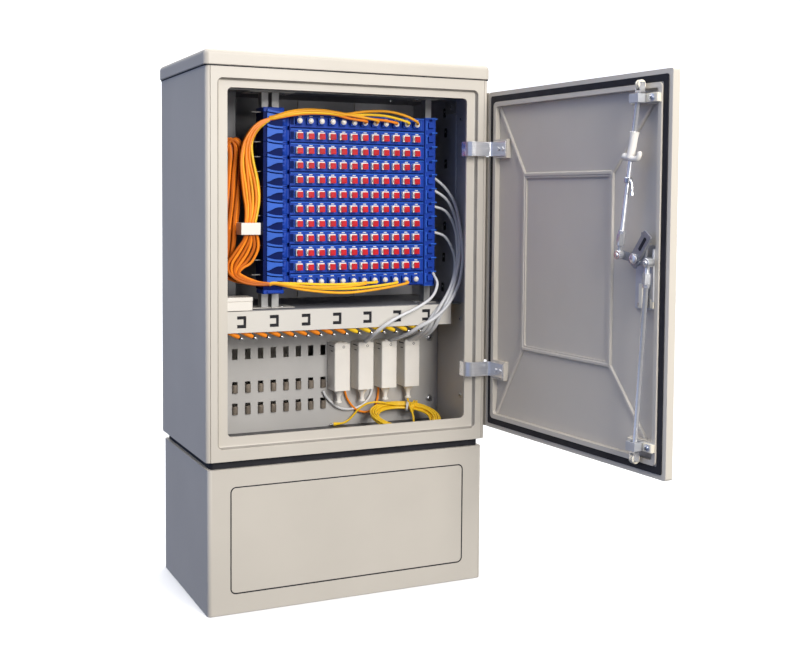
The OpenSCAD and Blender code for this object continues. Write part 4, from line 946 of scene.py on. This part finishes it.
BOOT_LEAN = math.radians(118)
BOOTS, ORANGE_BOOTS = 15, 9
lean = Vector((math.sin(BOOT_LEAN), 0, math.cos(BOOT_LEAN)))
boots = {True: bmesh.new(), False: bmesh.new()}
collars, tips = bmesh.new(), bmesh.new()
for k in range(BOOTS):
    root = Vector((-204 + 26 * k, -65, 486))
    boot = boots[k < ORANGE_BOOTS]
    add_lathe(boot, [(-8, 4.0), (-6, 4.7), (9, 4.8), (15, 4.4), (19.5, 3.2), (20, 2.2)], root, lean, 14)
    add_lathe(collars, [(19.4, 2.4), (20, 3.4), (22, 3.4), (22.4, 2.4)], root, lean, 14)
    add_lathe(tips, [(22.2, 2.0), (23, 2.5), (27, 2.5), (28.6, 1.7), (29.0, 0.8)], root, lean, 14)
fixed("parked_boots_orange", boots[True], ORANGE, stands_for=["parked_connectors"])
fixed("parked_boots_yellow", boots[False], YELLOW, stands_for=["parked_connectors"])
fixed("parked_collars", collars, RUBBER_AND_SHADE, stands_for=["parked_connectors"])
fixed("parked_tips", tips, STEEL, stands_for=["parked_connectors"])

# Door furniture, drawn with the door closed and carried to where the door stands open

hinge = joints["door_hinge"]
pivot = Vector(hinge["pos_m"]) / MM
opening = Matrix.Rotation(math.radians(-hinge["range_deg"][0]), 4, Vector(hinge["axis"]))
DOOR = Matrix.Translation(pivot) @ opening @ Matrix.Translation(-pivot)
LOCK_X, LOCK_Z = -185.0, 639.0
CAM_Y, ROD_Y, ROLLER_Y, LIP_Y, FIELD_Y = -139.5, -134.5, -136.0, -147.5, -157.5
UP_ROLLER, LOW_ROLLER = (-193.3, 910.5), (-194.7, 323.0)
PIN, LOW_PIN = Vector((-151.3, ROD_Y, 643.7)), Vector((-218.7, ROD_Y, 634.3))
UP_ROD = (Vector((UP_ROLLER[0], ROD_Y, UP_ROLLER[1])) - PIN).normalized()
LOW_ROD = (Vector((LOW_ROLLER[0], ROD_Y, LOW_ROLLER[1])) - LOW_PIN).normalized()


def hexagon(x, z, r, turn=0.0):
    angles = [math.radians(60 * k + turn) for k in range(6)]
    return [(x + r * math.cos(a), z + r * math.sin(a)) for a in angles]


# Rectangle of ribs and raised lip, each as left, right, low and top
RIB = (-107.0, 136.0, 458.5, 776.0)
LIP = (-229.0, 227.0, 316.0, 913.0)
LIP_WIDE, DOOR_MIDDLE = 7, 600


def add_rib(bm, start, stop, wide, high):
    """Ridge with sloping sides on the door's field, between two (x, z) points."""
    a, b = Vector((start[0], 0, start[1])), Vector((stop[0], 0, stop[1]))
    across = (b - a).normalized().cross(Vector((0, 1, 0)))
    section = ((-1, -0.2), (-0.55, high), (0.55, high), (1, -0.2))
    rings = [[bm.verts.new(p + across * s * wide / 2 + Vector((0, FIELD_Y + h, 0))) for s, h in section]
             for p in (a, b)]
    join(bm, *rings)
    bm.faces.new(rings[0])
    bm.faces.new(rings[1])


bm = bmesh.new()
for i, j in ((0, 2), (1, 2), (1, 3), (0, 3)):
    corner = (RIB[i], RIB[j])
    end = (LIP[i] + math.copysign(LIP_WIDE, -LIP[i]), LIP[j] + math.copysign(LIP_WIDE, DOOR_MIDDLE - LIP[j]))
    add_rib(bm, corner, end, 8.0, 3.4)
for a, b in (((0, 2), (1, 2)), ((1, 2), (1, 3)), ((1, 3), (0, 3)), ((0, 3), (0, 2))):
    add_rib(bm, (RIB[a[0]], RIB[a[1]]), (RIB[b[0]], RIB[b[1]]), 9.0, 4.2)
piece("door_ribs", bm, BODY, "door", 0.9, DOOR)

bm, dark = bmesh.new(), bmesh.new()
add_lathe(bm, [(0, 12.0), (1.0, 12.0), (1.4, 11.2)], (LOCK_X, CAM_Y, LOCK_Z), (0, 1, 0), 28)
add_prism(bm, hexagon(LOCK_X, LOCK_Z, 9.2, 14), "y", CAM_Y + 1.2, CAM_Y + 6.4)
add_lathe(bm, [(6.0, 7.2), (6.8, 6.6), (7.4, 4.8)], (LOCK_X, CAM_Y, LOCK_Z), (0, 1, 0), 24)
LEVER_LEAN = math.radians(37)
lean_x, lean_z = -math.sin(LEVER_LEAN), math.cos(LEVER_LEAN)


def leaning(across, up):
    """Point on the leaning lever of the lock, as (x, z)."""
    return (LOCK_X + across * lean_z + up * lean_x, LOCK_Z - across * lean_x + up * lean_z)


plate = bmesh.new()
add_prism(plate, [leaning(a, b) for a, b in rounded(-11, 11, -13, 50, 4, 4)], "y", CAM_Y - 0.2, CAM_Y + 2.4)
add_prism(plate, [leaning(a, b) for a, b in rounded(-11, -8.6, 8, 50, 1, 3)], "y", CAM_Y + 2.0, CAM_Y + 5.0)
add_prism(dark, [leaning(a, b) for a, b in rounded(-3, 3, 17, 42, 2.8, 5)], "y", CAM_Y + 2.2, CAM_Y + 2.7)
piece("lock_bolt_head", bm, STEEL, "lock", 0.4, DOOR)
piece("lock_lever", plate, LEVER, "lock", 0.4, DOOR)
piece("lock_plate_slot", dark, RUBBER_AND_SHADE, "lock", 0.0, DOOR)

for body, root, line in (("upper_bolt", PIN, UP_ROD), ("lower_bolt", LOW_PIN, LOW_ROD)):
    bm = bmesh.new()
    add_lathe(bm, [(-6.2, 6.4), (-5.4, 7.4), (4.4, 7.4), (5.2, 6.6)], root, (0, 1, 0), 22)
    add_lathe(bm, [(5.0, 4.0), (6.2, 3.6), (7.0, 2.4)], root, (0, 1, 0), 18)
    add_lathe(bm, [(34.0, 4.6), (34.6, 5.6), (39.4, 5.6), (40.2, 4.6)], root, line, 6)
    piece(body + "_rod_eye", bm, STEEL, body, 0.3, DOOR)

side = Vector((UP_ROD.z, 0, -UP_ROD.x))


def by_rod(up, out):
    """Point near the upper rod: so far up it from its pin, and so far out to the hinge side."""
    return PIN + UP_ROD * up + side * out


bm = bmesh.new()
curve = smooth([by_rod(197, -1.5), by_rod(188, -1.2), by_rod(176, -0.6), by_rod(166, 0.4), by_rod(156, 1.6)], 5)
last = len(curve) - 1
flare = [6.4 + 1.5 * abs(1 - 2 * k / last) ** 2 * (1.0 if k < 10 else 0.2) for k in range(last + 1)]
add_tube(bm, curve, flare, 16)
hook = smooth([by_rod(157, 17), by_rod(156, 12), by_rod(155, 2), by_rod(155, -9), by_rod(157.5, -16), by_rod(163, -19),
               by_rod(168, -18)], 5)
add_tube(bm, hook, [3.4, 5.0, 5.8] + [6.0 - 0.1 * k for k in range(len(hook) - 5)] + [2.8, 2.0], 14)
piece("rod_sleeve_curved", bm, WHITE, "upper_bolt", 0.0, DOOR, ["rod_sleeve"])
bm = bmesh.new()
add_lathe(bm, [(116, 5.4), (117, 6.6), (124, 6.6), (125, 5.4)], PIN, UP_ROD, 20)
lever = smooth([by_rod(124, -4), by_rod(118, -8), by_rod(108, -12), by_rod(98, -13)], 5)
add_tube(bm, lever, [1.8 + (1.4 if k > len(lever) - 4 else 0) for k in range(len(lever))], 8)
piece("rod_clip", bm, ZINC, "upper_bolt", 0.0, DOOR)

for name, gx, gz in (("upper", -190.0, 889.5), ("lower", -196.3, 344.0)):
    bm, heads, cuts = bmesh.new(), bmesh.new(), bmesh.new()
    x0, x1 = gx - 11.2, gx + 11.2
    foot = [(-228.2, LIP_Y), (-228.2, -141.6), (-226.6, -140), (x0 - 0.4, -140), (x0 - 0.4, LIP_Y)]
    add_prism(bm, foot, "z", gz - 6.8, gz + 6.8)
    foot = [(x1 + 0.4, LIP_Y), (x1 + 0.4, -142.6), (gx + 26.4, -142.6), (gx + 28.0, -144.2), (gx + 28.0, LIP_Y)]
    add_prism(bm, foot, "z", gz - 7.6, gz + 7.6)
    piece(name + "_rod_bridge", bm, CREAM, "door", 0.7, DOOR)
    add_screw(heads, cuts, ((x0 - 228.2) / 2, -140.1, gz), (0, 1, 0), 4.4)
    add_screw(heads, cuts, ((x1 + gx + 28.0) / 2, -142.7, gz), (0, 1, 0), 3.4)
    piece(name + "_bridge_screws", heads, ZINC, "door", 0.0, DOOR)
    piece(name + "_bridge_screw_cuts", cuts, RUBBER_AND_SHADE, "door", 0.0, DOOR)
ROLLER = [(-4.4, 4.0), (-4.4, 7.0), (-3.6, 7.9), (-1.3, 7.9), (-0.7, 6.4), (0.7, 6.4), (1.3, 7.9), (3.6, 7.9),
          (4.4, 7.0), (4.4, 4.0)]
for name, x, z in (("upper", *UP_ROLLER), ("lower", *LOW_ROLLER)):
    bm = bmesh.new()
    add_lathe(bm, ROLLER, (x, ROLLER_Y, z), (1, 0, 0), 28)
    piece(name + "_roller_rings", bm, CREAM, name + "_wheel", 0.0, DOOR, [name + "_roller"])

bm, heads, cuts = bmesh.new(), bmesh.new(), bmesh.new()
angle = [(-219.5, -154.4), (-206, -154.4), (-206, -151.6), (-216.8, -151.6), (-216.8, -146.2), (-219.5, -146.2)]
add_prism(bm, angle, "z", 562, 576)
add_prism(bm, rounded(-200, -191, -154.6, -141, 1.5, 3), "z", 562, 600)
add_screw(heads, cuts, (-190, -154.5, 611), (0, 1, 0), 4.2)
add_screw(heads, cuts, (-180, -154.5, 566), (0, 1, 0), 3.6)
piece("lock_stop_block", bm, CREAM, "door", 0.5, DOOR)
piece("lock_plate_screws", heads, ZINC, "door", 0.0, DOOR)
piece("lock_plate_screw_cuts", cuts, RUBBER_AND_SHADE, "door", 0.0, DOOR)
